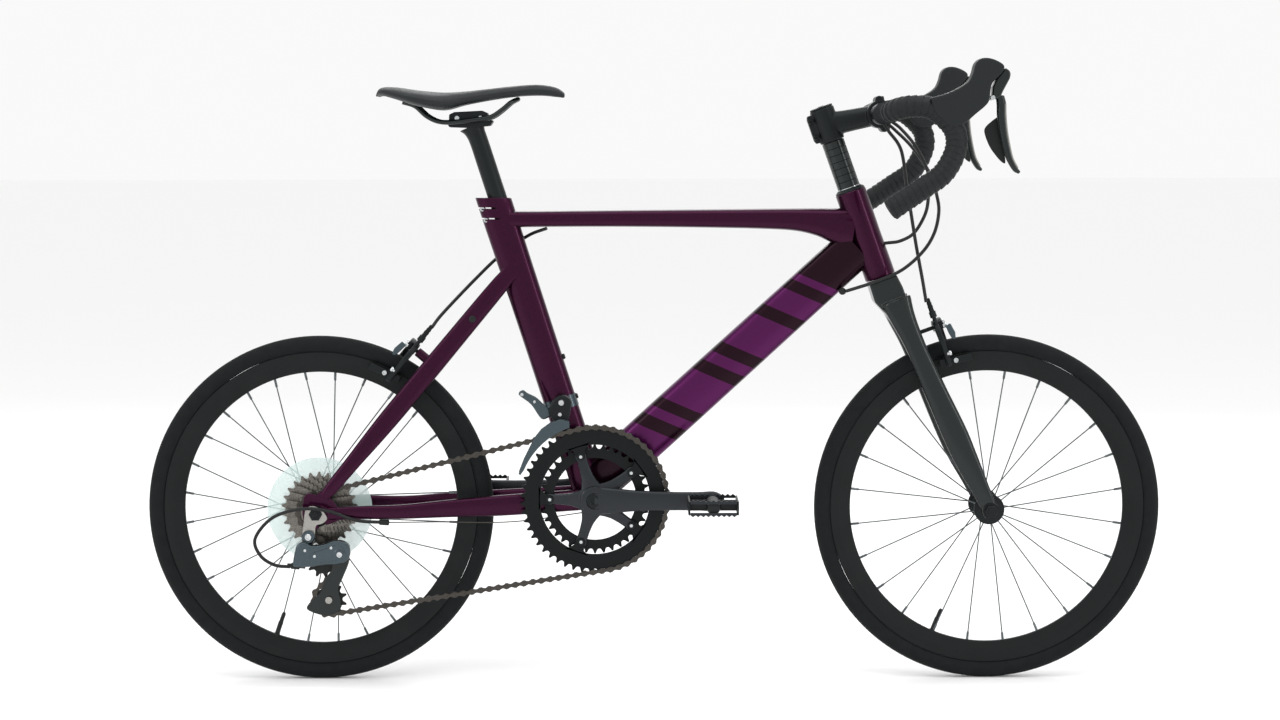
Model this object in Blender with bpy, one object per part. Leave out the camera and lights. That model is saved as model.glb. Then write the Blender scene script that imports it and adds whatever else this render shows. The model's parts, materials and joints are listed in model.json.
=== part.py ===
"""Mini road bicycle on 20-inch (451) wheels: drop bar, derailleur gears, dual-pivot caliper brakes.

Metres, +Z up, +X forward, -Y the drive side. The origin is on the ground, midway between the axles.
Run it with: blender --background --python part.py
"""
import math

import bmesh
import bpy
from mathutils import Vector

for old in list(bpy.data.objects):
    bpy.data.objects.remove(old, do_unlink=True)

# ------------------------------------------------------------------ driving dimensions
GAP = 0.0004  # clearance between pieces that touch

WHEELBASE = 0.978
TYRE_RADIUS = 0.2535  # 28 mm tyre on a 451 mm bead seat
TYRE_WIDTH = 0.0276
TYRE_HEIGHT = 0.0235  # tread above the rim's edge
RIM_RADIUS = TYRE_RADIUS - TYRE_HEIGHT
RIM_DEPTH = 0.0295
RIM_WIDTH = 0.0200

HEAD_ANGLE = math.radians(70.4)
SEAT_ANGLE = math.radians(72.1)
FORK_RAKE = 0.0350
BB_SETBACK = 0.0860  # bottom bracket centre behind the origin
BB_RISE = 0.0175  # bottom bracket centre above the axles
BB_SHELL_RADIUS = 0.0205
BB_SHELL_WIDTH = 0.0680
BB_UNIT_RADIUS = 0.0170
SPINDLE_RADIUS = 0.0088

HEAD_TUBE_RADIUS = 0.0225
HEAD_TUBE_LENGTH = 0.1330
HEAD_TUBE_FOOT = TYRE_RADIUS + 0.1050  # along the steering axis, from its point level with the axle
HEAD_TUBE_WALL = 0.0035
STEERER_RADIUS = 0.0143

SEAT_TUBE_RISE = 0.0195  # its level top above the top tube
SEAT_TUBE_DEPTH = 0.0480
SEAT_TUBE_WIDTH = 0.0330
SEAT_TUBE_SETBACK = 0.0060  # aero section's centre behind the post's axis
POST_RADIUS = 0.0136
POST_INSERTION = 0.1100
POST_CLEARANCE = 0.0004

TOP_TUBE_DROP = 0.0280  # its upper face below the head tube's top
TUBE_WALL = 0.0020
DOWN_TUBE_DEPTH = 0.0650
DOWN_TUBE_WIDTH = 0.0420
DOWN_TUBE_RISE = 0.0120  # its centre line passes this far above the bottom bracket
DOWN_TUBE_MEETS = 0.0721  # where that line crosses the steering axis, below the head tube's top

FRONT_HUB_WIDTH = 0.1000
REAR_HUB_WIDTH = 0.1300
DROPOUT_THICKNESS = 0.0060
AXLE_RADIUS = 0.0048

CRANK_LENGTH = 0.1700
CHAIN_PITCH = 0.0127
LARGE_RING_TEETH = 52
SMALL_RING_TEETH = 38
COGS = (13, 14, 15, 17, 19, 21, 23, 26)
COG_SPACING = 0.0048
PULLEY_TEETH = 11
CHAINLINE_FRONT = REAR_HUB_WIDTH / 2 - 0.0170
RING_SPACING = 0.0065
CHAINLINE_REAR = REAR_HUB_WIDTH / 2 - 0.0065  # centre of the smallest cog
TOOTH_WIDTH = 0.0020
TOOTH_RISE = 0.0033  # tooth tip above the pitch circle
TOOTH_DROP = 0.0038  # tooth root below the pitch circle
PLATE_INNER = 0.0021  # chain side plates, from the chain's centre plane
PLATE_OUTER = 0.0031
PLATE_HALF_HEIGHT = 0.0041

BAR_HALF_WIDTH = 0.2000
BAR_RADIUS = 0.0119
BAR_CLAMP_RADIUS = 0.0159
TAPE_RADIUS = 0.0152
BAR_SIDES = 8
STEM_REACH = 0.0770
STEM_DROP = 0.0110  # bar clamp below the middle of the steerer clamp
CALIPER_REACH = 0.0520  # pivot to shoe on a wheel with TYRE_HEIGHT of tyre
PAD_OFFSET = 0.0160
PAD_DEPTH = 0.0073  # shoe's middle inside the rim's edge
CABLE_DIAMETER = 0.0050

# ------------------------------------------------------------------ places worked out from them
REAR_AXLE = Vector((-WHEELBASE / 2, 0, TYRE_RADIUS))
FRONT_AXLE = Vector((WHEELBASE / 2, 0, TYRE_RADIUS))
BB = Vector((-BB_SETBACK, 0, TYRE_RADIUS + BB_RISE))
STEER_UP = Vector((-math.cos(HEAD_ANGLE), 0, math.sin(HEAD_ANGLE)))
STEER_FORWARD = Vector((math.sin(HEAD_ANGLE), 0, math.cos(HEAD_ANGLE)))
STEER_FOOT = FRONT_AXLE - Vector((FORK_RAKE / math.sin(HEAD_ANGLE), 0, 0))
SEAT_UP = Vector((-math.cos(SEAT_ANGLE), 0, math.sin(SEAT_ANGLE)))
SEAT_FORWARD = Vector((math.sin(SEAT_ANGLE), 0, math.cos(SEAT_ANGLE)))
SIDE = Vector((0, 1, 0))
HEAD_TUBE_TOP = HEAD_TUBE_FOOT + HEAD_TUBE_LENGTH


def pitch_radius(teeth):
    """Radius on which a chain's pins lie round a sprocket."""
    return CHAIN_PITCH / 2 / math.sin(math.pi / teeth)


def steer(along, forward=0.0, side=0.0):
    """A point in the steering axis's own directions."""
    return STEER_FOOT + STEER_UP * along + STEER_FORWARD * forward + SIDE * side


def seat(along, forward=0.0, side=0.0):
    """A point in the seat axis's own directions, from the bottom bracket."""
    return BB + SEAT_UP * along + SEAT_FORWARD * forward + SIDE * side


TOP_TUBE_TOP = steer(HEAD_TUBE_TOP).z - TOP_TUBE_DROP
SEAT_TUBE_TOP = TOP_TUBE_TOP + SEAT_TUBE_RISE
TOP_TUBE_REAR = seat((TOP_TUBE_TOP - BB.z) / SEAT_UP.z).x  # the seat axis at the top tube's height
TOP_TUBE_FRONT = steer((TOP_TUBE_TOP - STEER_FOOT.z) / STEER_UP.z).x
DOWN_TUBE_SPAN = steer(HEAD_TUBE_TOP - DOWN_TUBE_MEETS) - BB
DOWN_TUBE_ANGLE = (math.atan2(DOWN_TUBE_SPAN.z, DOWN_TUBE_SPAN.x)
                   - math.asin(DOWN_TUBE_RISE / DOWN_TUBE_SPAN.length))
DOWN_TUBE_LENGTH = math.sqrt(DOWN_TUBE_SPAN.length ** 2 - DOWN_TUBE_RISE ** 2)
TUBE_UP = Vector((math.cos(DOWN_TUBE_ANGLE), 0, math.sin(DOWN_TUBE_ANGLE)))
TUBE_ABOVE = Vector((-math.sin(DOWN_TUBE_ANGLE), 0, math.cos(DOWN_TUBE_ANGLE)))


# ------------------------------------------------------------------ materials
def linear(value):
    return value / 12.92 if value <= 0.04045 else ((value + 0.055) / 1.055) ** 2.4


def material(name, colour, metallic, roughness, alpha=1.0):
    """A Principled material from an sRGB hex colour."""
    made = bpy.data.materials.new(name)
    made.use_nodes = True
    shader = made.node_tree.nodes["Principled BSDF"]
    channels = [linear(int(colour[i:i + 2], 16) / 255) for i in (0, 2, 4)]
    shader.inputs["Base Color"].default_value = (*channels, 1)
    shader.inputs["Metallic"].default_value = metallic
    shader.inputs["Roughness"].default_value = roughness
    shader.inputs["Alpha"].default_value = alpha
    return made


PAINT = material("burgundy_paint", "3a0d2e", 0.5, 0.25)
BLACK_ALLOY = material("black_alloy", "15191b", 0.7, 0.4)
STEEL = material("steel", "8d9294", 1.0, 0.35)
GREY_ALLOY = material("grey_alloy", "5c6a70", 0.9, 0.3)
TYRE_RUBBER = material("tyre_rubber", "131617", 0.0, 0.75)
TAPE = material("bar_tape", "15181a", 0.0, 0.7)
HOOD_RUBBER = material("hood_rubber", "14181a", 0.0, 0.6)
SADDLE_COVER = material("saddle_cover", "101417", 0.0, 0.5)
CLEAR_PLASTIC = material("clear_plastic", "dfe8e8", 0.0, 0.15, 0.4)
CABLE_PLASTIC = material("cable_plastic", "0d0f10", 0.0, 0.45)


# ------------------------------------------------------------------ shape helpers
def add_object(name, points, faces, finish, pivot=(0, 0, 0), angle=40):
    """A mesh object with its origin at pivot and its faces turned outwards."""
    centre = Vector(pivot)
    mesh = bpy.data.meshes.new(name)
    mesh.from_pydata([Vector(p) - centre for p in points], [], faces)
    work = bmesh.new()
    work.from_mesh(mesh)
    bmesh.ops.recalc_face_normals(work, faces=work.faces[:])
    if work.calc_volume(signed=True) < 0:
        bmesh.ops.reverse_faces(work, faces=work.faces[:])
    work.to_mesh(mesh)
    work.free()
    mesh.shade_smooth()
    mesh.set_sharp_from_angle(angle=math.radians(angle))
    mesh.materials.append(finish)
    made = bpy.data.objects.new(name, mesh)
    made.location = centre
    bpy.context.collection.objects.link(made)
    return made


def loft(rings, closed=False):
    """Quads between rings of equal count; open ends get a cap each."""
    count = len(rings[0])
    points = [p for ring in rings for p in ring]
    faces = []
    for i in range(len(rings) if closed else len(rings) - 1):
        low = i * count
        high = (i + 1) % len(rings) * count
        for j in range(count):
            k = (j + 1) % count
            faces.append((low + j, low + k, high + k, high + j))
    if not closed:
        last = (len(rings) - 1) * count
        faces.append(tuple(range(count))[::-1])
        faces.append(tuple(last + j for j in range(count)))
    return points, faces


def basis(axis):
    """Two unit vectors square to an axis."""
    along = Vector(axis).normalized()
    first = along.cross(SIDE)
    if first.length < 1e-6:
        first = Vector((1, 0, 0))
    first.normalize()
    return along, first, along.cross(first)


def turned(name, profile, centre, axis, finish, segments=16, hollow=False, pivot=None, phase=0.0):
    """A profile of (height, radius) turned about an axis; a hollow one closes on itself."""
    along, first, second = basis(axis)
    start = Vector(centre)
    rings = []
    for height, radius in profile:
        ring = []
        for i in range(segments):
            turn = phase + 2 * math.pi * i / segments
            ring.append(start + along * height + (first * math.cos(turn) + second * math.sin(turn)) * radius)
        rings.append(ring)
    points, faces = loft(rings, closed=hollow)
    return add_object(name, points, faces, finish, start if pivot is None else pivot)


def rod(name, start, end, radius, finish, segments=12, pivot=None):
    """A plain round bar between two points."""
    length = (Vector(end) - Vector(start)).length
    axis = Vector(end) - Vector(start)
    return turned(name, [(0, radius), (length, radius)], start, axis, finish, segments, pivot=pivot)


def prism(name, outline, low, high, finish, pivot=(0, 0, 0), place=None):
    """An outline of (x, z) carried from y = low to y = high, or through place(u, v, w)."""
    spot = place or (lambda u, v, w: Vector((u, w, v)))
    rings = [[spot(u, v, w) for u, v in outline] for w in (low, high)]
    points, faces = loft(rings)
    return add_object(name, points, faces, finish, pivot, angle=30)


def box(name, low, high, finish, pivot=(0, 0, 0)):
    outline = [(low[0], low[2]), (high[0], low[2]), (high[0], high[2]), (low[0], high[2])]
    return prism(name, outline, low[1], high[1], finish, pivot)


def section(centre, tall, wide, half_height, half_width, count, square=2.0, phase=0.5):
    """A rounded ring about a centre: square 2 is an ellipse, higher is boxier."""
    ring = []
    for i in range(count):
        turn = 2 * math.pi * (i + phase) / count
        c = math.cos(turn)
        s = math.sin(turn)
        u = math.copysign(abs(c) ** (2 / square), c) * half_width
        v = math.copysign(abs(s) ** (2 / square), s) * half_height
        ring.append(centre + wide * u + tall * v)
    return ring


def path_rings(stations, count, square=2.0, shrink=0.0):
    """Rings square to a path of (point, half height, half width), held upright to the bike's side."""
    rings = []
    for i, (point, half_height, half_width) in enumerate(stations):
        before = stations[max(i - 1, 0)][0]
        after = stations[min(i + 1, len(stations) - 1)][0]
        tangent = (after - before).normalized()
        tall = tangent.cross(SIDE)
        if tall.length < 0.3:
            tall = Vector((0, 0, 1)) - tangent * tangent.z
        tall.normalize()
        wide = tangent.cross(tall)
        rings.append(section(point, tall, wide, half_height - shrink, half_width - shrink, count, square))
    return rings


def sweep(name, stations, finish, count=12, square=2.0, wall=None, pivot=(0, 0, 0)):
    """A tube along a path; with a wall it is open at both ends."""
    rings = path_rings(stations, count, square)
    if wall:
        rings += path_rings(stations, count, square, wall)[::-1]
    points, faces = loft(rings, closed=bool(wall))
    return add_object(name, points, faces, finish, pivot)


def smooth_route(points, spacing):
    """Points a set distance apart on a smooth curve through a route."""
    route = [Vector(p) for p in points]
    ends = [route[0] * 2 - route[1]] + route + [route[-1] * 2 - route[-2]]
    dense = []
    for i in range(1, len(ends) - 2):
        a, b, c, d = ends[i - 1:i + 3]
        for j in range(24):
            t = j / 24
            dense.append(0.5 * (2 * b + (c - a) * t + (2 * a - 5 * b + 4 * c - d) * t * t
                                + (3 * b - 3 * c + d - a) * t ** 3))
    dense.append(route[-1])
    lengths = [0.0]
    for a, b in zip(dense, dense[1:]):
        lengths.append(lengths[-1] + (b - a).length)
    steps = max(2, round(lengths[-1] / spacing))
    found = []
    at = 0
    for i in range(steps + 1):
        want = lengths[-1] * i / steps
        while at < len(lengths) - 2 and lengths[at + 1] < want:
            at += 1
        span = lengths[at + 1] - lengths[at]
        found.append(dense[at].lerp(dense[at + 1], (want - lengths[at]) / span if span else 0))
    return found


def cable(name, route, diameter=CABLE_DIAMETER, finish=None):
    """A housing along its route: a bevelled curve with filled ends."""
    points = smooth_route(route, diameter * 2.8)
    curve = bpy.data.curves.new(name, "CURVE")
    curve.dimensions = "3D"
    curve.bevel_depth = diameter / 2
    curve.bevel_resolution = 2
    curve.use_fill_caps = True
    spline = curve.splines.new("POLY")
    spline.points.add(len(points) - 1)
    for target, point in zip(spline.points, points):
        target.co = (*point, 1)
    curve.materials.append(finish or CABLE_PLASTIC)
    made = bpy.data.objects.new(name, curve)
    bpy.context.collection.objects.link(made)
    return made


def combine(target, other, operation):
    """A live EXACT Boolean; the other object is a guide and is left out."""
    other.hide_render = True
    other.display_type = "WIRE"
    step = target.modifiers.new(operation.lower(), "BOOLEAN")
    step.operation = operation
    step.solver = "EXACT"
    step.object = other
    return target


def join(target, *others):
    for other in others:
        combine(target, other, "UNION")
    return target


def cut(target, *others):
    for other in others:
        combine(target, other, "DIFFERENCE")
    return target


# ------------------------------------------------------------------ main frame
def seat_tube_rings(extra=0.0, low=0.008, high=None, count=16):
    """Rings of the aero seat tube, the last one level where the tube ends."""
    length = (SEAT_TUBE_TOP - BB.z) / SEAT_UP.z
    heights = [low, length * 0.44, length * 0.78]
    half_depth = SEAT_TUBE_DEPTH / 2 + extra
    half_width = SEAT_TUBE_WIDTH / 2 + extra
    rings = [section(seat(h, -SEAT_TUBE_SETBACK), SEAT_FORWARD, SIDE, half_depth, half_width, count, 2.3)
             for h in heights]
    top = high or SEAT_TUBE_TOP
    rings.append([p + SEAT_UP * ((top - p.z) / SEAT_UP.z) for p in rings[-1]])
    return rings


def bore_rings(radius, low, top, count=16):
    """Level-topped rings of the seat tube's round bore, from the top down."""
    base = section(seat(low), SEAT_FORWARD, SIDE, radius, radius, count)
    upper = [p + SEAT_UP * ((top - p.z) / SEAT_UP.z) for p in base]
    return [upper, base]


def make_seat_tube():
    rings = seat_tube_rings() + bore_rings(POST_RADIUS + POST_CLEARANCE, 0.008, SEAT_TUBE_TOP)
    points, faces = loft(rings, closed=True)
    made = add_object("seat_tube", points, faces, PAINT)
    slot_height = 0.0022
    slot_depth = 0.0220
    for level in (SEAT_TUBE_TOP - 0.0160, SEAT_TUBE_TOP - 0.0314):
        rear = seat((level - BB.z) / SEAT_UP.z, -SEAT_TUBE_DEPTH / 2 - SEAT_TUBE_SETBACK).x
        low = (rear - 0.02, -0.03, level)
        slot = box("guide_slot", low, (rear + slot_depth, 0.03, level + slot_height), PAINT)
        cut(made, slot)
    return cut(made, bb_cutter)


def down_tube_stations():
    centre = BB + TUBE_ABOVE * DOWN_TUBE_RISE
    depth = DOWN_TUBE_DEPTH / 2
    width = DOWN_TUBE_WIDTH / 2
    return [(centre + TUBE_UP * 0.012, depth, width * 0.86),
            (centre + TUBE_UP * 0.140, depth, width),
            (centre + TUBE_UP * 0.300, depth - 0.0005, width),
            (centre + TUBE_UP * (DOWN_TUBE_LENGTH - 0.0580), depth - 0.0015, width * 0.88),
            (centre + TUBE_UP * (DOWN_TUBE_LENGTH - 0.0180), depth - 0.0015, width * 0.88)]


def top_tube_rings(extra=0.0, count=16):
    """Rings of the flattened top tube, deepening under the head tube."""
    length = TOP_TUBE_FRONT - TOP_TUBE_REAR
    stations = [(TOP_TUBE_REAR + 0.0058, 0.0, 0.0240, 0.0160),
                (TOP_TUBE_REAR + 0.0552, 0.0, 0.0232, 0.0160),
                (TOP_TUBE_REAR + length * 0.4265, 0.0015, 0.0250, 0.0170),
                (TOP_TUBE_REAR + length * 0.7160, 0.0027, 0.0290, 0.0185),
                (TOP_TUBE_FRONT - 0.0820, 0.0033, 0.0335, 0.0200),
                (TOP_TUBE_FRONT - 0.0422, 0.0037, 0.0450, 0.0205),
                (TOP_TUBE_FRONT + 0.0030, 0.0040, 0.0600, 0.0190)]
    rings = []
    for x, rise, deep, wide in stations:
        centre = Vector((x, 0, TOP_TUBE_TOP + rise - deep / 2))
        rings.append(section(centre, Vector((0, 0, 1)), SIDE, deep / 2 - extra, wide - extra, count, 3.2))
    return rings


def frame_cutters():
    """Solid shapes a clearance larger than the pieces that others end against."""
    bb_cut = turned("guide_bb", [(-0.06, BB_SHELL_RADIUS + GAP), (0.06, BB_SHELL_RADIUS + GAP)],
                    BB, (0, 1, 0), PAINT, 32)
    head_cut = turned("guide_head", [(-0.02, HEAD_TUBE_RADIUS + GAP),
                                     (HEAD_TUBE_LENGTH + 0.02, HEAD_TUBE_RADIUS + GAP)],
                      steer(HEAD_TUBE_FOOT), STEER_UP, PAINT, 24)
    seat_cut = add_object("guide_seat", *loft(seat_tube_rings(GAP, -0.02, SEAT_TUBE_TOP + 0.02)), PAINT)
    top_cut = add_object("guide_top", *loft(top_tube_rings(-2.5 * GAP)), PAINT)
    return bb_cut, head_cut, seat_cut, top_cut


bb_cutter, head_cutter, seat_cutter, top_cutter = frame_cutters()
turned("head_tube", [(0, HEAD_TUBE_RADIUS), (HEAD_TUBE_LENGTH, HEAD_TUBE_RADIUS),
                     (HEAD_TUBE_LENGTH, HEAD_TUBE_RADIUS - HEAD_TUBE_WALL),
                     (0, HEAD_TUBE_RADIUS - HEAD_TUBE_WALL)],
       steer(HEAD_TUBE_FOOT), STEER_UP, PAINT, 24, hollow=True)
make_seat_tube()
down_tube = sweep("down_tube", down_tube_stations(), PAINT, 16, 3.0, TUBE_WALL)
cut(down_tube, seat_cutter, bb_cutter, head_cutter, top_cutter)
top_tube = add_object("top_tube", *loft(top_tube_rings() + top_tube_rings(TUBE_WALL)[::-1], True), PAINT)
cut(top_tube, seat_cutter, head_cutter)
turned("bottom_bracket_shell", [(-BB_SHELL_WIDTH / 2, BB_SHELL_RADIUS), (BB_SHELL_WIDTH / 2, BB_SHELL_RADIUS),
                                (BB_SHELL_WIDTH / 2, BB_UNIT_RADIUS + GAP),
                                (-BB_SHELL_WIDTH / 2, BB_UNIT_RADIUS + GAP)],
       BB, (0, 1, 0), PAINT, 24, hollow=True)


# ------------------------------------------------------------------ rear triangle
def dropout_outline(hanger, scale=1.0):
    """Plate round the rear axle; the drive side also carries the derailleur hanger."""
    x = REAR_AXLE.x
    z = REAR_AXLE.z
    front = [(x - 0.0170, z + 0.0235), (x - 0.0100, z + 0.0305), (x + 0.0010, z + 0.0265),
             (x + 0.0080, z + 0.0342), (x + 0.0226, z + 0.0220), (x + 0.0330, z + 0.0100),
             (x + 0.0330, z - 0.0095), (x + 0.0210, z - 0.0145), (x + 0.0105, z - 0.0170)]
    if hanger:
        rear = [(x - 0.0030, z - 0.0245), (x - 0.0025, z - 0.0395), (x - 0.0100, z - 0.0445),
                (x - 0.0185, z - 0.0385), (x - 0.0195, z - 0.0245), (x - 0.0170, z - 0.0085)]
    else:
        rear = [(x - 0.0060, z - 0.0170), (x - 0.0140, z - 0.0120), (x - 0.0170, z - 0.0020)]
    return [(x + (u - x) * scale, z + (v - z) * scale) for u, v in front + rear]


def axle_slot(axle, heading, length):
    """A round-ended slot from the axle, open in the heading's direction."""
    reach = AXLE_RADIUS + GAP
    outline = []
    for i in range(9):
        turn = heading + math.pi / 2 + math.pi * i / 8
        outline.append((axle.x + reach * math.cos(turn), axle.z + reach * math.sin(turn)))
    for turn in (-math.pi / 2, math.pi / 2):
        outline.append((axle.x + reach * math.cos(heading + turn) + length * math.cos(heading),
                        axle.z + reach * math.sin(heading + turn) + length * math.sin(heading)))
    return prism("guide_slot", outline, -0.1, 0.1, PAINT)


def make_chainstay(name, side):
    inner = REAR_HUB_WIDTH / 2
    spread = side * (inner + DROPOUT_THICKNESS / 2 + 0.0010)
    stations = []
    for x, y, z, half_height, half_width in ((0.0240, 0.0, 0.0000, 0.0095, 0.0057),
                                             (0.0590, -0.0090, 0.0005, 0.0098, 0.0062),
                                             (0.1215, -0.0190, 0.0002, 0.0105, 0.0070),
                                             (0.1940, -0.0270, 0.0040, 0.0130, 0.0075)):
        stations.append((REAR_AXLE + Vector((x, spread + side * y, z)), half_height, half_width))
    for x, y, z, half_height, half_width in ((-0.1368, 0.0340, -0.0105, 0.0152, 0.0080),
                                             (-0.0600, 0.0272, -0.0060, 0.0155, 0.0080),
                                             (0.0050, 0.0245, -0.0020, 0.0155, 0.0080)):
        stations.append((BB + Vector((x, side * y, z)), half_height, half_width))
    stay = sweep(name, stations, PAINT, 12, 2.4)
    faces = sorted((side * (inner + GAP), side * (inner + DROPOUT_THICKNESS)))
    plate = prism("guide_plate", dropout_outline(side < 0), *faces, PAINT)
    cut(stay, bb_cutter, seat_cutter)
    join(stay, plate)
    return cut(stay, axle_slot(REAR_AXLE, math.radians(-62), 0.0900))


STAY_FOOT = REAR_AXLE + Vector((0.0153, 0, 0.0281))
STAY_MEETS = 0.3604  # where the stays' line crosses the seat axis, above the bottom bracket
BRIDGE_BACK = 0.0320  # caliper's mounting face behind the bridge
BRIDGE_HEIGHT = TYRE_RADIUS - 0.0168  # along the stays from their foot, which clears the tyre
STAY_SPAN = seat(STAY_MEETS) - STAY_FOOT
STAY_UP = STAY_SPAN.normalized()
STAY_BACK = Vector((-STAY_UP.z, 0, STAY_UP.x))
STAY_BRIDGE = STAY_FOOT + STAY_UP * BRIDGE_HEIGHT
CALIPER_FOOT_REAR = STAY_BRIDGE + STAY_BACK * BRIDGE_BACK


def make_seatstays():
    stays = []
    foot = STAY_FOOT + STAY_UP * GAP * 2
    length = STAY_SPAN.length
    lower = REAR_HUB_WIDTH / 2 + 0.0055
    upper = SEAT_TUBE_WIDTH / 2 + 0.0050
    for side in (-1, 1):
        stations = []
        for along, spread, half_height, half_width in ((0.0, lower, 0.0095, 0.0052),
                                                       (0.050, lower - 0.0045, 0.0108, 0.0060),
                                                       (length * 0.3144, lower - 0.0205, 0.0140, 0.0065),
                                                       (length * 0.5086, upper + 0.0165, 0.0140, 0.0065),
                                                       (length * 0.6935, upper + 0.0085, 0.0138, 0.0065),
                                                       (length - 0.0326, upper, 0.0130, 0.0065)):
            stations.append((foot + STAY_UP * along + SIDE * side * spread, half_height, half_width))
        stays.append(sweep("seatstays" if side < 0 else "guide_stay", stations, PAINT, 12, 2.4))
    bridge = rod("guide_bridge", STAY_BRIDGE - SIDE * 0.036, STAY_BRIDGE + SIDE * 0.036, 0.0085, PAINT)
    boss = rod("guide_boss", STAY_BRIDGE, CALIPER_FOOT_REAR - STAY_BACK * 0.001, 0.0070, PAINT)
    join(stays[0], bridge, stays[1], boss)
    plates = [prism("guide_plate", dropout_outline(False, 1.012), *sorted((side * 0.06, side * 0.09)), PAINT)
              for side in (-1, 1)]
    return cut(stays[0], seat_cutter, *plates)


make_chainstay("chainstay_right", -1)
make_chainstay("chainstay_left", 1)
make_seatstays()

# ------------------------------------------------------------------ headset, bottom bracket and cranks
BEARING_OUTER = HEAD_TUBE_RADIUS - HEAD_TUBE_WALL - GAP
BEARING_INNER = STEERER_RADIUS + GAP
COVER_HEIGHT = 0.0052
turned("headset_upper_bearing", [(-0.0070, BEARING_OUTER), (GAP, BEARING_OUTER),
                                 (GAP, HEAD_TUBE_RADIUS - 0.001), (COVER_HEIGHT, 0.0172),
                                 (COVER_HEIGHT, BEARING_INNER), (-0.0070, BEARING_INNER)],
       steer(HEAD_TUBE_TOP), STEER_UP, BLACK_ALLOY, 24, hollow=True)
turned("headset_lower_bearing", [(0.0015, BEARING_OUTER), (0.0085, BEARING_OUTER),
                                 (0.0085, BEARING_INNER), (0.0015, BEARING_INNER)],
       steer(HEAD_TUBE_FOOT), STEER_UP, STEEL, 24, hollow=True)
CUP_FACE = 0.0385
cup_inner = SPINDLE_RADIUS + GAP
shell_face = BB_SHELL_WIDTH / 2 + GAP
turned("bottom_bracket_unit", [(-CUP_FACE, 0.0190), (-shell_face, 0.0190), (-shell_face, BB_UNIT_RADIUS),
                               (shell_face, BB_UNIT_RADIUS), (shell_face, 0.0190), (CUP_FACE, 0.0190),
                               (CUP_FACE, cup_inner), (-CUP_FACE, cup_inner)],
       BB, (0, 1, 0), BLACK_ALLOY, 20, hollow=True)

RIGHT = -1
LEFT = 1
BOLT_CIRCLE = 0.0650
SPIDER_BACK = CHAINLINE_FRONT - RING_SPACING + TOOTH_WIDTH / 2 + GAP
SPIDER_FRONT = CHAINLINE_FRONT - TOOTH_WIDTH / 2 - GAP
BOSS_INNER = CHAINLINE_FRONT + 0.0020
BOSS_OUTER = CHAINLINE_FRONT + 0.0205
ARM_MIDDLE = CHAINLINE_FRONT + 0.0130  # of the arm, beside the bottom bracket
PEDAL_FACE = CHAINLINE_FRONT + 0.0295
ARM_HALF_HEIGHT = 0.0148
PEDAL_WIDTH = 0.0700


def pedal_spindle(side):
    """Centre of a pedal's spindle: the right crank points forward and the left one rearward."""
    return BB + Vector((-side * CRANK_LENGTH, 0, 0))


def make_crank(name, side):
    ahead = -side
    boss = turned(name, [(side * BOSS_INNER, 0.0195), (side * (BOSS_INNER + 0.0100), 0.0215),
                         (side * BOSS_OUTER, 0.0190)], BB, (0, 1, 0), BLACK_ALLOY, 24, pivot=BB)
    stations = []
    for along, spread, half_height, half_width in ((0.000, 0.0000, 0.0170, 0.0065),
                                                   (CRANK_LENGTH * 0.294, 0.0025, 0.0152, 0.0065),
                                                   (CRANK_LENGTH * 0.647, 0.0065, ARM_HALF_HEIGHT, 0.0062),
                                                   (CRANK_LENGTH, 0.0100, ARM_HALF_HEIGHT, 0.0060),
                                                   (CRANK_LENGTH + 0.010, 0.0103, 0.0125, 0.0056),
                                                   (CRANK_LENGTH + 0.017, 0.0104, 0.0070, 0.0046)):
        stations.append((BB + Vector((ahead * along, side * (ARM_MIDDLE + spread), 0)), half_height, half_width))
    arm = sweep("guide_arm", stations, BLACK_ALLOY, 12, 2.8)
    centre = pedal_spindle(side)
    spindle = rod("guide_spindle", centre + SIDE * side * (ARM_MIDDLE + 0.007),
                  centre + SIDE * side * (PEDAL_FACE + 0.062), 0.0045, STEEL, 12)
    join(boss, arm, spindle)
    if side == RIGHT:
        outline = []
        for i in range(5):
            middle = math.radians(36 + 72 * i)
            for turn, radius in ((-34, 0.0200), (-9, 0.0560), (-7, 0.0710), (7, 0.0710), (9, 0.0560)):
                spot = middle + math.radians(turn)
                outline.append((BB.x + radius * math.cos(spot), BB.z + radius * math.sin(spot)))
        star = prism("guide_star", outline, -SPIDER_FRONT, -SPIDER_BACK, BLACK_ALLOY)
        core = rod("guide_core", BB - SIDE * (BOSS_INNER - 0.0080), BB - SIDE * (BOSS_INNER + 0.0060), 0.0235,
                   BLACK_ALLOY, 24)
        through = rod("guide_through", BB - SIDE * (BOSS_INNER + 0.0020), BB + SIDE * (BOSS_INNER - GAP),
                      SPINDLE_RADIUS, STEEL, 16)
        join(boss, core, star, through)
    return boss


def tooth_ring(name, teeth, inner, middle, centre, finish, per_tooth=2, phase=0.0, width=TOOTH_WIDTH, side=RIGHT):
    """A flat toothed ring: tips and roots by turns round the pitch circle, and a round bore."""
    radius = pitch_radius(teeth)
    count = teeth * per_tooth
    rings = []
    for offset, bore in ((-width / 2, False), (width / 2, False), (width / 2, True), (-width / 2, True)):
        ring = []
        for i in range(count):
            turn = phase + 2 * math.pi * i / count
            out = radius + TOOTH_RISE if i % 2 else radius - TOOTH_DROP
            reach = inner if bore else out
            ring.append(Vector((centre.x + reach * math.cos(turn), side * middle + offset,
                                centre.z + reach * math.sin(turn))))
        rings.append(ring)
    points, faces = loft(rings, closed=True)
    return add_object(name, points, faces, finish, Vector((centre.x, 0, centre.z)))


make_crank("crank_right", RIGHT)
make_crank("crank_left", LEFT)
tooth_ring("chainring_large", LARGE_RING_TEETH, 0.0610, CHAINLINE_FRONT, BB, BLACK_ALLOY)
tooth_ring("chainring_small", SMALL_RING_TEETH, 0.0590, CHAINLINE_FRONT - RING_SPACING, BB, BLACK_ALLOY)


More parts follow.
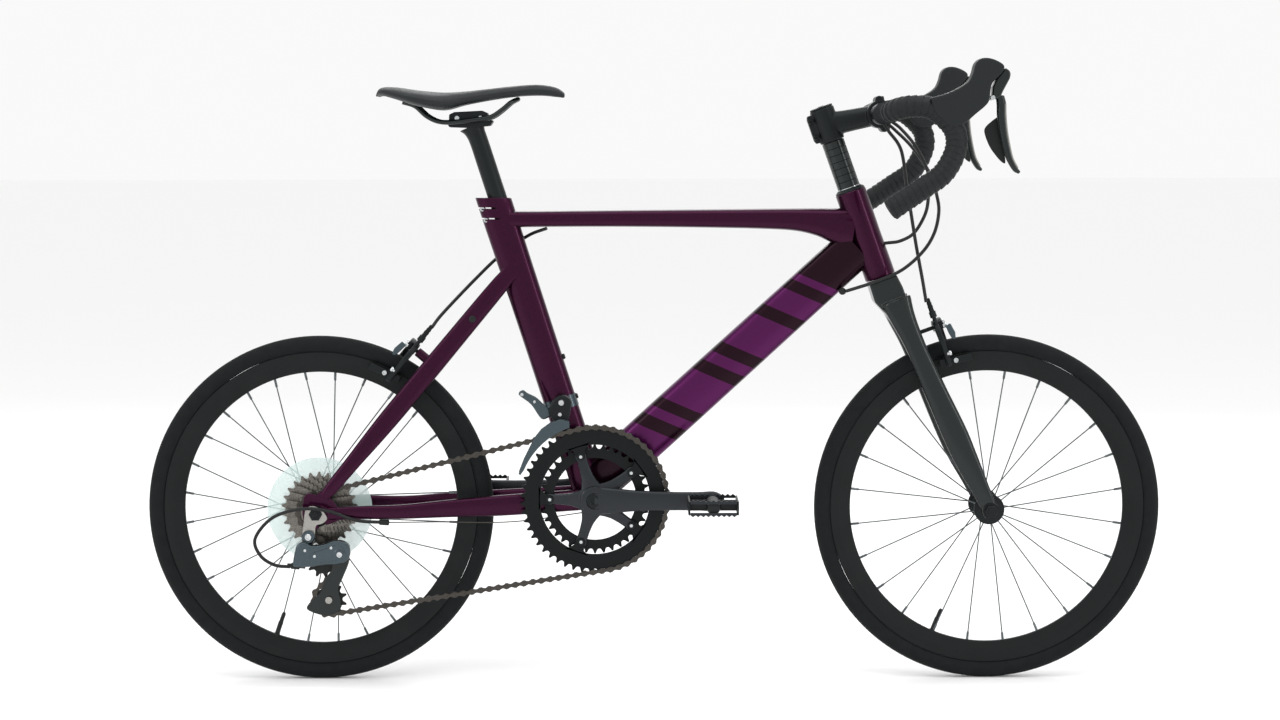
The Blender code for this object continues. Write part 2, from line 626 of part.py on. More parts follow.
def make_pedal(name, side):
    """A cage pedal: a toothed frame round a hollow barrel that turns on the spindle."""
    centre = pedal_spindle(side)
    inner = PEDAL_FACE + 0.0015
    outer = inner + PEDAL_WIDTH
    half_length = 0.0360
    half_height = 0.0120
    wall = 0.0030
    rings = []
    for grow, level in ((0, -1), (0, 1), (wall, 1), (wall, -1)):
        ring = []
        for u, v in ((-1, 0), (1, 0), (1, 1), (-1, 1)):
            x = centre.x + u * (half_length - grow)
            y = side * (inner + grow if v == 0 else outer - grow)
            ring.append(Vector((x, y, centre.z + level * half_height)))
        rings.append(ring)
    points, faces = loft(rings, closed=True)
    cage = add_object(name, points, faces, GREY_ALLOY, centre)
    barrel = rod("guide_barrel", centre + SIDE * side * (inner + 0.0005), centre + SIDE * side * (outer - 0.0005),
                 0.0105, BLACK_ALLOY, 12)
    near, far = sorted((side * (inner + 0.028), side * (inner + 0.036)))
    reach = half_length - 0.001
    web = box("guide_web", (centre.x - reach, near, centre.z - 0.006), (centre.x + reach, far, centre.z + 0.006),
              BLACK_ALLOY)
    bore = rod("guide_bore", centre + SIDE * side * (inner - 0.01), centre + SIDE * side * (inner + 0.062),
               0.0045 + GAP, BLACK_ALLOY, 12)
    join(cage, barrel, web)
    return cut(cage, bore)


make_pedal("pedal_right", RIGHT)
make_pedal("pedal_left", LEFT)

# ------------------------------------------------------------------ chain, cassette and derailleurs
GUIDE_PULLEY = REAR_AXLE + Vector((0.0090, 0, -0.0695))
TENSION_PULLEY = REAR_AXLE + Vector((0.0170, 0, -0.1265))


def chain_path():
    """Pitch line of the chain: (point, outward normal) round ring, cog and both pulleys."""
    wheels = [(BB, pitch_radius(LARGE_RING_TEETH), 1, CHAINLINE_FRONT),
              (REAR_AXLE, pitch_radius(COGS[0]), 1, CHAINLINE_REAR),
              (GUIDE_PULLEY, pitch_radius(PULLEY_TEETH), -1, CHAINLINE_REAR),
              (TENSION_PULLEY, pitch_radius(PULLEY_TEETH), 1, CHAINLINE_REAR)]
    leaving = []
    arriving = []
    for i, (centre, radius, spin, line) in enumerate(wheels):
        far, far_radius, far_spin, far_line = wheels[(i + 1) % 4]
        gap = far - centre
        lean = math.asin((far_spin * far_radius - spin * radius) / gap.length)
        heading = math.atan2(gap.z, gap.x) - lean
        normal = heading + math.pi / 2
        leaving.append(normal + (math.pi if spin > 0 else 0))
        arriving.append(normal + (math.pi if far_spin > 0 else 0))
    path = []
    for i, (centre, radius, spin, line) in enumerate(wheels):
        start = arriving[i - 1]
        sweep_angle = (leaving[i] - start) * spin % (2 * math.pi)
        steps = max(3, round(sweep_angle / math.radians(15)))
        for j in range(steps + 1):
            turn = start + spin * sweep_angle * j / steps
            out = Vector((math.cos(turn), 0, math.sin(turn)))
            path.append((centre + out * radius - SIDE * line, out * spin))
    return path


def make_chain():
    path = chain_path()
    bands = []
    for name, near, far in (("chain", PLATE_INNER, PLATE_OUTER), ("guide_band", -PLATE_OUTER, -PLATE_INNER)):
        rings = []
        for point, out in path:
            high = point + out * PLATE_HALF_HEIGHT
            low = point - out * PLATE_HALF_HEIGHT
            rings.append([high + SIDE * near, high + SIDE * far, low + SIDE * far, low + SIDE * near])
        bands.append(add_object(name, *loft(rings, True), STEEL))
    pins = []
    faces = []
    for (a, out), (b, _) in zip(path, path[1:] + path[:1]):
        if (b - a).length < 0.1:
            continue
        along = (b - a).normalized()
        for share in (0.25, 0.5, 0.75):
            centre = a.lerp(b, share)
            first = len(pins)
            for across in (0.0005 - PLATE_OUTER, PLATE_OUTER - 0.0005):
                for u, v in ((-1, -1), (1, -1), (1, 1), (-1, 1)):
                    pins.append(centre + along * u * 0.0016 + out * v * 0.0016 + SIDE * across)
            for face in ((0, 1, 2, 3), (7, 6, 5, 4), (0, 4, 5, 1), (1, 5, 6, 2), (2, 6, 7, 3), (3, 7, 4, 0)):
                faces.append(tuple(first + k for k in face))
    return join(bands[0], add_object("guide_pins", pins, faces, STEEL), bands[1])


def make_cassette():
    """Eight cogs on one carrier; the smallest has its teeth cut."""
    bore = FREEHUB_RADIUS + GAP
    profile = [(-(CHAINLINE_REAR + 0.0016), bore, 0), (-(CHAINLINE_REAR + 0.0016), 0.0205, 0)]
    for i, teeth in enumerate(COGS):
        middle = -(CHAINLINE_REAR - i * COG_SPACING)
        radius = pitch_radius(teeth)
        profile += [(middle - TOOTH_WIDTH / 2, radius, 1), (middle + TOOTH_WIDTH / 2, radius, 1)]
        if i < len(COGS) - 1:
            profile.append((middle + TOOTH_WIDTH / 2 + 0.0002, radius - 0.0085, 0))
            profile.append((middle + COG_SPACING - TOOTH_WIDTH / 2 - 0.0002, radius - 0.0085, 0))
    profile.append((profile[-1][0], bore, 0))
    count = COGS[0] * 2
    rings = []
    for height, radius, toothed in profile:
        ring = []
        for i in range(count):
            turn = 2 * math.pi * i / count
            reach = radius
            if toothed and radius < pitch_radius(COGS[0]) + 0.0001:
                reach += TOOTH_RISE * 0.7 if i % 2 else -TOOTH_DROP * 0.7
            elif toothed:
                reach += TOOTH_RISE * 0.7
            ring.append(REAR_AXLE + Vector((reach * math.cos(turn), height, reach * math.sin(turn))))
        rings.append(ring)
    return add_object("cassette", *loft(rings, True), STEEL, REAR_AXLE)


FREEHUB_RADIUS = 0.0165
make_chain()
make_cassette()
PULLEY_BORE = 0.0046
tooth_ring("guide_pulley", PULLEY_TEETH, PULLEY_BORE, CHAINLINE_REAR, GUIDE_PULLEY, BLACK_ALLOY)
tooth_ring("tension_pulley", PULLEY_TEETH, PULLEY_BORE, CHAINLINE_REAR, TENSION_PULLEY, BLACK_ALLOY)


def around(centre, shape):
    return [(centre.x + u, centre.z + v) for u, v in shape]


def make_rear_derailleur():
    middle = (GUIDE_PULLEY + TENSION_PULLEY) / 2
    plate = around(middle, ((-0.014, 0.035), (-0.008, 0.042), (0.006, 0.042), (0.014, 0.031), (0.014, -0.006),
                            (0.0245, -0.026), (0.0255, -0.037), (0.018, -0.048), (0.004, -0.053),
                            (-0.0165, -0.052), (-0.0225, -0.0435), (-0.016, -0.031), (-0.0125, -0.006)))
    outer = CHAINLINE_REAR + 0.0060
    inner = CHAINLINE_REAR - 0.0060
    made = prism("rear_derailleur", plate, -outer - 0.0015, -outer, BLACK_ALLOY)
    back = prism("guide_inner", plate, -inner, -inner + 0.0012, BLACK_ALLOY)
    pins = [rod("guide_pin", p - SIDE * (outer + 0.0010), p - SIDE * (inner - 0.0008), 0.0040, STEEL, 10)
            for p in (GUIDE_PULLEY, TENSION_PULLEY)]
    face = REAR_HUB_WIDTH / 2 + DROPOUT_THICKNESS + GAP
    hanger = REAR_AXLE + Vector((-0.0100, 0, -0.0325))
    body = around(hanger, ((-0.017, -0.022), (-0.007, -0.031), (0.019, -0.035), (0.047, -0.035), (0.058, -0.027),
                           (0.059, -0.016), (0.047, -0.008), (0.021, -0.010), (0.007, -0.0045), (-0.015, -0.011)))
    shell = prism("guide_shell", body, -face - 0.0180, -face, GREY_ALLOY)
    ear = rod("guide_ear", hanger - SIDE * face, hanger - SIDE * (face + 0.0090), 0.0095, GREY_ALLOY, 16)
    neck = around(hanger, ((-0.008, -0.014), (0.008, -0.014), (0.009, 0.002), (-0.009, 0.002)))
    web = prism("guide_neck", neck, -face - 0.0075, -face, GREY_ALLOY)
    knuckle_centre = hanger + Vector((0.046, 0, -0.0235))
    knuckle = rod("guide_knuckle", knuckle_centre - SIDE * (outer + 0.0005),
                  knuckle_centre - SIDE * (face + 0.002), 0.0090, GREY_ALLOY, 16)
    lug = around(knuckle_centre, ((-0.030, -0.010), (0.004, -0.010), (0.009, 0.000), (0.004, 0.010), (-0.020, 0.008)))
    link = prism("guide_link", lug, -outer - 0.0015, -outer, BLACK_ALLOY)
    return join(made, *pins, back, link, knuckle, shell, web, ear)


def make_front_derailleur():
    ring = pitch_radius(LARGE_RING_TEETH)
    mount = seat(ring + 0.0393)
    outline = []
    for turn in (104, 115, 127, 139, 150):
        outline.append((ring + 0.0058, turn))
    outline += [(ring + 0.0108, 162), (ring + 0.0150, 163), (ring + 0.0130, 150), (ring + 0.0222, 130),
                (ring + 0.0230, 118), (ring + 0.0165, 106)]
    shape = [(BB.x + r * math.cos(math.radians(t)), BB.z + r * math.sin(math.radians(t))) for r, t in outline]
    outside = CHAINLINE_FRONT + 0.0055
    inside = CHAINLINE_FRONT - 0.0055
    made = prism("front_derailleur", shape, -outside - 0.0012, -outside, GREY_ALLOY)
    back = prism("guide_back", shape, -inside, -inside + 0.0012, GREY_ALLOY)

    def bridge(low, high, near, far):
        corners = [(near, low), (near, high), (far, high), (far, low)]
        return prism("guide_bridge", [(BB.x + r * math.cos(math.radians(t)), BB.z + r * math.sin(math.radians(t)))
                                      for r, t in corners], -outside - 0.0006, -inside + 0.0006, GREY_ALLOY)

    top = bridge(112, 124, ring + 0.0195, ring + 0.0216)
    tail = bridge(160.5, 162.5, ring + 0.0112, ring + 0.0142)
    wall = SEAT_TUBE_WIDTH / 2 + GAP
    clamp = around(mount, ((-0.014, -0.026), (0.006, -0.024), (0.010, 0.008), (-0.002, 0.014), (-0.016, 0.010)))
    body = prism("guide_body", clamp, -inside + 0.0006, -wall, GREY_ALLOY)
    arm_shape = around(mount, ((-0.014, -0.006), (-0.004, 0.008), (-0.058, 0.027), (-0.069, 0.020),
                                      (-0.066, 0.012)))
    arm = prism("guide_arm", arm_shape, -0.0370, -0.0300, GREY_ALLOY)
    return join(made, top, tail, back, body, arm)


make_rear_derailleur()
make_front_derailleur()


# ------------------------------------------------------------------ wheels
def make_wheel(prefix, axle, spokes, flange_right, flange_left):
    """Tyre, rim and spokes; the spokes are one piece with the hoops that their ends sit on."""
    half = TYRE_WIDTH / 2
    seat_radius = RIM_RADIUS + GAP
    middle = (TYRE_RADIUS + RIM_RADIUS) / 2
    shoulder = TYRE_RADIUS - 0.003
    turned(prefix + "_tyre", [(-half * 0.68, seat_radius), (-half, middle - 0.0017), (-half * 0.66, shoulder),
                              (0, TYRE_RADIUS), (half * 0.66, shoulder), (half, middle - 0.0017),
                              (half * 0.68, seat_radius)],
           axle, (0, 1, 0), TYRE_RUBBER, 48, hollow=True)
    rim_half = RIM_WIDTH / 2
    inner = RIM_RADIUS - RIM_DEPTH
    turned(prefix + "_rim", [(-rim_half, RIM_RADIUS), (-rim_half, RIM_RADIUS - 0.0120), (-0.0040, inner),
                             (0.0040, inner), (rim_half, RIM_RADIUS - 0.0120), (rim_half, RIM_RADIUS)],
           axle, (0, 1, 0), BLACK_ALLOY, 48, hollow=True)
    hoop = inner - 0.0020
    made = turned(prefix + "_spokes", [(-0.0030, hoop), (0.0030, hoop), (0.0030, hoop - 0.0012),
                                       (-0.0030, hoop - 0.0012)], axle, (0, 1, 0), STEEL, 24, hollow=True)
    points = []
    faces = []
    start = 0.0245
    for i in range(spokes):
        turn = 2 * math.pi * (i + 0.5) / spokes
        out = Vector((math.cos(turn), 0, math.sin(turn)))
        across = Vector((-math.sin(turn), 0, math.cos(turn)))
        flange = -flange_right if i % 2 else flange_left
        near = axle + out * start + SIDE * flange
        far = axle + out * (hoop - 0.0005) + SIDE * math.copysign(0.0012, flange)
        first = len(points)
        for end in (near, far):
            for k in range(3):
                spin = 2 * math.pi * k / 3
                points.append(end + across * math.cos(spin) * 0.0011 + SIDE * math.sin(spin) * 0.0011)
        faces += [(first, first + 1, first + 2), (first + 5, first + 4, first + 3)]
        for k in range(3):
            n = (k + 1) % 3
            faces.append((first + k, first + n, first + 3 + n, first + 3 + k))
    rods = add_object("guide_rods", points, faces, STEEL)
    hoops = []
    for flange in (-flange_right, flange_left):
        hoops.append(turned("guide_hoop", [(flange - 0.0015, 0.0230), (flange + 0.0015, 0.0230),
                                           (flange + 0.0015, 0.0252), (flange - 0.0015, 0.0252)],
                            axle, (0, 1, 0), STEEL, 14, hollow=True))
    return join(made, rods, *hoops)


HUB_BORE = AXLE_RADIUS + 0.0006
FLANGE_RADIUS = 0.0220


def hub_flange(y):
    return [(y - 0.0018, 0.0125), (y - 0.0015, FLANGE_RADIUS), (y + 0.0015, FLANGE_RADIUS), (y + 0.0018, 0.0125)]


make_wheel("front", FRONT_AXLE, 24, 0.0345, 0.0345)
front_face = FRONT_HUB_WIDTH / 2 - GAP
turned("front_hub", [(-front_face, HUB_BORE), (-front_face, 0.0110), *hub_flange(-0.0345), *hub_flange(0.0345),
                     (front_face, 0.0110), (front_face, HUB_BORE)],
       FRONT_AXLE, (0, 1, 0), BLACK_ALLOY, 16, hollow=True)
make_wheel("rear", REAR_AXLE, 28, 0.0180, 0.0345)
rear_face = REAR_HUB_WIDTH / 2 - GAP
freehub_end = CHAINLINE_REAR + 0.0025
turned("rear_hub", [(-rear_face, HUB_BORE), (-rear_face, 0.0105), (-freehub_end, 0.0105),
                    (-freehub_end, FREEHUB_RADIUS), (-0.0205, FREEHUB_RADIUS), *hub_flange(-0.0180)[1:],
                    *hub_flange(0.0345),
                    (rear_face, 0.0110), (rear_face, HUB_BORE)],
       REAR_AXLE, (0, 1, 0), BLACK_ALLOY, 16, hollow=True)
turned("spoke_protector", [(-0.0224, 0.0258), (-0.0224, 0.0770), (-0.0214, 0.0770), (-0.0214, 0.0258)],
       REAR_AXLE, (0, 1, 0), CLEAR_PLASTIC, 32, hollow=True)


def make_axle(name, centre, plate_outer, nut_length, nut_radius):
    """A threaded axle with a nut outside each dropout."""
    face = plate_outer + GAP
    return turned(name, [(-face - nut_length, nut_radius * 0.85), (-face - 0.002, nut_radius), (-face, nut_radius),
                         (-face, AXLE_RADIUS), (face, AXLE_RADIUS), (face, nut_radius),
                         (face + 0.002, nut_radius), (face + nut_length, nut_radius * 0.85)],
                  centre, (0, 1, 0), BLACK_ALLOY, 16)


make_axle("rear_axle", REAR_AXLE, REAR_HUB_WIDTH / 2 + DROPOUT_THICKNESS, 0.0085, 0.0085)
make_axle("front_axle", FRONT_AXLE, FRONT_HUB_WIDTH / 2 + DROPOUT_THICKNESS, 0.0085, 0.0092)


# ------------------------------------------------------------------ fork and cockpit
SPACER_STACK = 0.0710
STEM_CLAMP_HEIGHT = 0.0500
SPACER_FOOT = HEAD_TUBE_TOP + COVER_HEIGHT + GAP
SPACER_TOP = SPACER_FOOT + SPACER_STACK
STEM_CLAMP_TOP = SPACER_TOP + GAP + STEM_CLAMP_HEIGHT
CALIPER_FOOT_FRONT = steer(TYRE_RADIUS + 0.0088, 0.0464)


def local_outline(shape):
    return [(steer(s, t).x, steer(s, t).z) for s, t in shape]


def make_fork():
    crown_top = HEAD_TUBE_FOOT - 0.0015
    foot = HEAD_TUBE_FOOT
    shape = local_outline(((crown_top, -0.0215), (crown_top, 0.0225), (foot - 0.0235, 0.0250),
                           (foot - 0.0585, 0.0245), (foot - 0.1085, 0.0235), (foot - 0.1085, 0.0060),
                           (foot - 0.0685, -0.0060), (foot - 0.0305, -0.0225)))
    fork = prism("fork", shape, -0.0270, 0.0270, BLACK_ALLOY)
    steerer = rod("guide_steerer", steer(foot - 0.0185), steer(STEM_CLAMP_TOP - 0.0035), STEERER_RADIUS,
                  BLACK_ALLOY, 24)
    parts = [steerer]
    for side in (-1, 1):
        stations = []
        for share, ahead, spread, half_height, half_width in ((0.8950, 0.235, -0.0293, 0.0230, 0.0110),
                                                              (0.8140, 0.259, -0.0233, 0.0185, 0.0100),
                                                              (0.6878, 0.360, -0.0168, 0.0148, 0.0085),
                                                              (0.5208, 0.479, -0.0103, 0.0165, 0.0080),
                                                              (0.3162, 0.657, -0.0043, 0.0188, 0.0072),
                                                              (0.1960, 0.750, -0.0018, 0.0176, 0.0062),
                                                              (0.0620, 0.898, -0.0003, 0.0135, 0.0042),
                                                              (-0.0100, 0.969, 0.0000, 0.0118, 0.0028)):
            across = side * (FRONT_HUB_WIDTH / 2 + 0.0033 + spread)
            stations.append((steer(foot * share, FORK_RAKE * ahead, across), half_height, half_width))
        parts.append(sweep("guide_blade", stations, BLACK_ALLOY, 12, 2.2))
        inner = side * (FRONT_HUB_WIDTH / 2 + GAP)
        outer = side * (FRONT_HUB_WIDTH / 2 + DROPOUT_THICKNESS)
        tip = rod("guide_tip", FRONT_AXLE + SIDE * inner, FRONT_AXLE + SIDE * outer, 0.0132, BLACK_ALLOY, 20)
        parts.append(tip)
    boss = rod("guide_boss", steer(TYRE_RADIUS + 0.0088, 0.0150), CALIPER_FOOT_FRONT - STEER_FORWARD * 0.001,
               0.0070, BLACK_ALLOY)
    join(fork, *parts, boss)
    return cut(fork, axle_slot(FRONT_AXLE, math.radians(-90), 0.0300))


make_fork()
turned("headset_spacers", [(0, 0.0165), (SPACER_TOP - SPACER_FOOT, 0.0165),
                           (SPACER_TOP - SPACER_FOOT, STEERER_RADIUS + GAP), (0, STEERER_RADIUS + GAP)],
       steer(SPACER_FOOT), STEER_UP, BLACK_ALLOY, 24, hollow=True)
STEM_MIDDLE = (SPACER_TOP + STEM_CLAMP_TOP) / 2
BAR_CENTRE = steer(STEM_MIDDLE - STEM_DROP, STEM_REACH)


def make_stem():
    stem = rod("stem", steer(SPACER_TOP + GAP), steer(STEM_CLAMP_TOP), 0.0178, BLACK_ALLOY, 24)
    start = steer(STEM_MIDDLE)
    stations = [(start.lerp(BAR_CENTRE, share), high, wide) for share, high, wide in
                ((0.02, 0.0190, 0.0150), (0.30, 0.0165, 0.0150), (0.75, 0.0155, 0.0150), (0.98, 0.0150, 0.0160))]
    extension = sweep("guide_extension", stations, BLACK_ALLOY, 16, 2.4)
    clamp = rod("guide_clamp", BAR_CENTRE - SIDE * 0.0210, BAR_CENTRE + SIDE * 0.0210, 0.0205, BLACK_ALLOY, 24)
    join(stem, extension, clamp)
    bore = rod("guide_bore", steer(SPACER_TOP - 0.01), steer(STEM_CLAMP_TOP + 0.01), STEERER_RADIUS + GAP,
               BLACK_ALLOY, 24)
    bar_bore = rod("guide_bar", BAR_CENTRE - SIDE * 0.05, BAR_CENTRE + SIDE * 0.05, BAR_CLAMP_RADIUS + GAP,
                   BLACK_ALLOY, 24)
    return cut(stem, bore, bar_bore)


make_stem()


def bar_route(side):
    """Centre line of half the drop bar, from the clamp to the end of the drop."""
    width = BAR_HALF_WIDTH
    shape = ((0.0000, 0.300, 0.0000), (0.0000, 0.700, 0.0010), (0.0030, 0.850, 0.0025), (0.0145, 0.945, 0.0065),
             (0.0300, 0.985, 0.0085), (0.0520, 1.000, 0.0062), (0.0705, 1.005, -0.0065), (0.0855, 1.010, -0.0252),
             (0.0868, 1.018, -0.0510), (0.0700, 1.030, -0.0830), (0.0392, 1.042, -0.1056), (-0.0030, 1.050, -0.1340))
    return [BAR_CENTRE + Vector((x, side * width * share, z)) for x, share, z in shape]


def bar_rings(stations, radius, count):
    """Rings carried along a bar without twist, starting square to its flat top."""
    rings = []
    wide = None
    for i, point in enumerate(stations):
        before = stations[max(i - 1, 0)]
        after = stations[min(i + 1, len(stations) - 1)]
        tangent = (after - before).normalized()
        if wide is None:
            wide = Vector((0, 0, 1))
        wide = (wide - tangent * wide.dot(tangent)).normalized()
        other = tangent.cross(wide)
        size = radius(i) if callable(radius) else radius
        rings.append([point + (wide * math.cos(2 * math.pi * k / count)
                               + other * math.sin(2 * math.pi * k / count)) * size for k in range(count)])
    return rings


def make_bar():
    """Both halves are framed outwards from the clamp, so each tape's bore matches its half."""
    clamp = 0.0330
    lines = [smooth_route(bar_route(side), 0.0180) for side in (-1, 1)]
    right, left = [bar_rings(line, BAR_RADIUS, BAR_SIDES) for line in lines]
    shoulders = [BAR_CENTRE + SIDE * y for y in (-clamp - 0.006, -clamp, clamp, clamp + 0.006)]
    middle = bar_rings(shoulders, lambda i: BAR_CLAMP_RADIUS if i in (1, 2) else BAR_RADIUS, BAR_SIDES)
    turned_back = [[ring[-k] for k in range(BAR_SIDES)] for ring in right[::-1]]
    return add_object("handlebar", *loft(turned_back + middle + left), BLACK_ALLOY)


def make_tape(name, side):
    line = smooth_route(bar_route(side), 0.0180)
    outer = bar_rings(line, TAPE_RADIUS, BAR_SIDES)
    inner = bar_rings(line, BAR_RADIUS + GAP, BAR_SIDES)
    return add_object(name, *loft(outer + inner[::-1], True), TAPE)


make_bar()
make_tape("bar_tape_right", RIGHT)
make_tape("bar_tape_left", LEFT)

HOOD_HALF_WIDTH = 0.0192
LEVER_PIVOT = BAR_CENTRE + Vector((0.1362, 0, 0.0198))
SHIFT_AXIS = BAR_CENTRE + Vector((0.1490, 0, 0.0370))


def from_bar(shape):
    return [(BAR_CENTRE.x + u, BAR_CENTRE.z + v) for u, v in shape]


def make_hood(name, side):
    shape = from_bar(((0.0500, 0.0195), (0.0775, 0.0265), (0.1005, 0.0395), (0.1080, 0.0520), (0.1117, 0.0660),
                      (0.1210, 0.0725), (0.1350, 0.0718), (0.1510, 0.0640), (0.1350, 0.0395), (0.1322, 0.0240),
                      (0.1300, 0.0140), (0.0980, -0.0150), (0.0880, -0.0178), (0.0740, -0.0165), (0.0560, 0.0020)))
    middle = side * BAR_HALF_WIDTH
    hood = prism(name, shape, middle - HOOD_HALF_WIDTH, middle + HOOD_HALF_WIDTH, HOOD_RUBBER)
    line = smooth_route(bar_route(side), 0.0180)
    tunnel = add_object("guide_tunnel", *loft(bar_rings(line, TAPE_RADIUS + GAP, BAR_SIDES)), TAPE)
    return cut(hood, tunnel)


def make_levers(word, side):
    middle = side * BAR_HALF_WIDTH
    pivot = Vector((LEVER_PIVOT.x, middle, LEVER_PIVOT.z))
    head = from_bar(((0.1533, 0.0612), (0.1612, 0.0544), (0.1597, 0.0474), (0.1507, 0.0290), (0.1470, 0.0205),
                     (0.1400, 0.0170), (0.1356, 0.0200), (0.1362, 0.0340), (0.1420, 0.0470)))
    prism("lever_unit_" + word, head, middle - 0.0110, middle + 0.0110, BLACK_ALLOY, pivot)
    swing = Vector((SHIFT_AXIS.x, middle, SHIFT_AXIS.z))
    blade = from_bar(((0.1497, 0.0240), (0.1568, 0.0077), (0.1577, -0.0321), (0.1626, -0.0602), (0.1757, -0.0812),
                      (0.1700, -0.0824), (0.1580, -0.0719), (0.1516, -0.0368), (0.1478, 0.0007), (0.1437, 0.0140),
                      (0.1480, 0.0178)))
    prism("brake_lever_" + word, blade, middle - 0.0065, middle + 0.0065, GREY_ALLOY, swing)
    inward = -side
    faces = sorted((middle + inward * 0.0070, middle + inward * 0.0100))
    paddle = from_bar(((0.1385, -0.0111), (0.1282, -0.0205), (0.1271, -0.0275), (0.1344, -0.0462), (0.1499, -0.0673),
                       (0.1569, -0.0696), (0.1518, -0.0368), (0.1490, -0.0140), (0.1440, -0.0060)))
    prism("shift_paddle_" + word, paddle, *faces, BLACK_ALLOY, swing)


for word, side in (("right", RIGHT), ("left", LEFT)):
    make_hood("brake_hood_" + word, side)
    make_levers(word, side)


# ------------------------------------------------------------------ caliper brakes
PAD_HALF_LENGTH = 0.0240
PAD_CLEARANCE = 0.0019  # shoe to rim with the brake off
ARM_THICKNESS = 0.0080
SIDE_PIVOT = 0.0150


def make_caliper(prefix, foot, forward, down, axle):
    """Two arms, one in front of the other, each ending in a shoe that follows the rim."""
    outward = (foot + down * CALIPER_REACH + forward * PAD_OFFSET - axle).normalized()
    shoe = axle + outward * (RIM_RADIUS - PAD_DEPTH)
    along = outward.cross(SIDE)
    stretch = (shoe - foot).dot(down) / CALIPER_REACH
    for word, side, near in (("right", -1, 0.0010), ("left", 1, 0.0010 + ARM_THICKNESS + GAP)):
        shape = ((-0.008, -0.0060), (0.006, -0.0110), (0.022, -0.0080), (0.033, 0.0060), (0.036, 0.0220),
                 (0.031, 0.0400), (0.0275, 0.0575), (0.0190, 0.0575), (0.0185, 0.0420), (0.0240, 0.0260),
                 (0.0220, 0.0120), (0.0120, 0.0052), (-0.004, 0.0060))

        def place(u, v, w, side=side):
            return foot + SIDE * side * u + down * v * (stretch if v > 0.01 else 1) + forward * w

        def beside_rim(u, v, w, side=side):
            return shoe + SIDE * side * u + outward * v + along * w

        pivot = foot + SIDE * (0 if side < 0 else SIDE_PIVOT)
        arm = prism(f"{prefix}_brake_arm_{word}", shape, near, near + ARM_THICKNESS, BLACK_ALLOY, pivot, place)
        inner = RIM_WIDTH / 2 + PAD_CLEARANCE
        outline = ((inner, -0.0048), (inner + 0.0085, -0.0048), (inner + 0.0085, 0.0048), (inner, 0.0048))
        pad = prism("guide_pad", outline, -PAD_HALF_LENGTH, PAD_HALF_LENGTH, TYRE_RUBBER, place=beside_rim)
        join(arm, pad)


make_caliper("front", CALIPER_FOOT_FRONT, STEER_FORWARD, -STEER_UP, FRONT_AXLE)
make_caliper("rear", CALIPER_FOOT_REAR, STAY_BACK, -STAY_UP, REAR_AXLE)


# ------------------------------------------------------------------ seatpost and saddle
POST_EXPOSED = 0.0848  # neck above the seat tube's top, along the post
POST_TOP = (SEAT_TUBE_TOP - BB.z) / SEAT_UP.z + POST_EXPOSED
RAIL_SPREAD = 0.0220
RAIL_RADIUS = 0.0035


def make_seatpost():
    bottom = (SEAT_TUBE_TOP - BB.z) / SEAT_UP.z - POST_INSERTION
    neck = seat(POST_TOP)
    stations = [(seat(bottom), POST_RADIUS, POST_RADIUS), (seat(POST_TOP - 0.0440), POST_RADIUS, POST_RADIUS),
                (neck, POST_RADIUS, POST_RADIUS), (neck + Vector((-0.0060, 0, 0.0150)), 0.0150, 0.0140),
                (neck + Vector((-0.0095, 0, 0.0240)), 0.0210, 0.0155)]
    post = sweep("seatpost", stations, BLACK_ALLOY, 16)
    head = neck + Vector((-0.0130, 0, 0.0300))
    cradle = prism("guide_cradle", around(head, ((-0.0330, -0.0030), (-0.0300, -0.0080), (0.0300, -0.0060),
                                                 (0.0340, 0.0000), (0.0330, 0.0020), (-0.0320, -0.0020 + GAP))),
                   -0.0160, 0.0160, BLACK_ALLOY)
    post_clamp = prism("guide_upper", around(head, ((-0.0310, -0.0040), (0.0260, -0.0040), (0.0270, 0.0160),
                                                    (-0.0300, 0.0130))), -0.0165, 0.0165, BLACK_ALLOY)
    return join(post, cradle, post_clamp)


def rail_route():
    """The rails' line: back socket, flat clamping run, then round inside the nose."""
    head = seat(POST_TOP) + Vector((-0.0130, 0, 0.0340))
    shape = ((-0.0960, 0.0240), (-0.0780, 0.0180), (-0.0620, 0.0040), (-0.0450, -0.0040), (-0.0250, -0.0050),
             (0.0150, -0.0010), (0.0330, 0.0030), (0.0480, 0.0130), (0.0600, 0.0230))
    spread = (1.00, 1.00, 1.00, 1.00, 1.00, 1.00, 0.95, 0.75, 0.55)
    right = [head + Vector((x, -RAIL_SPREAD * share, z)) for (x, z), share in zip(shape, spread)]
    nose = head + Vector((0.0700, 0, 0.0280))
    left = [Vector((p.x, -p.y, p.z)) for p in right[::-1]]
    return smooth_route(right + [nose] + left, 0.0120)


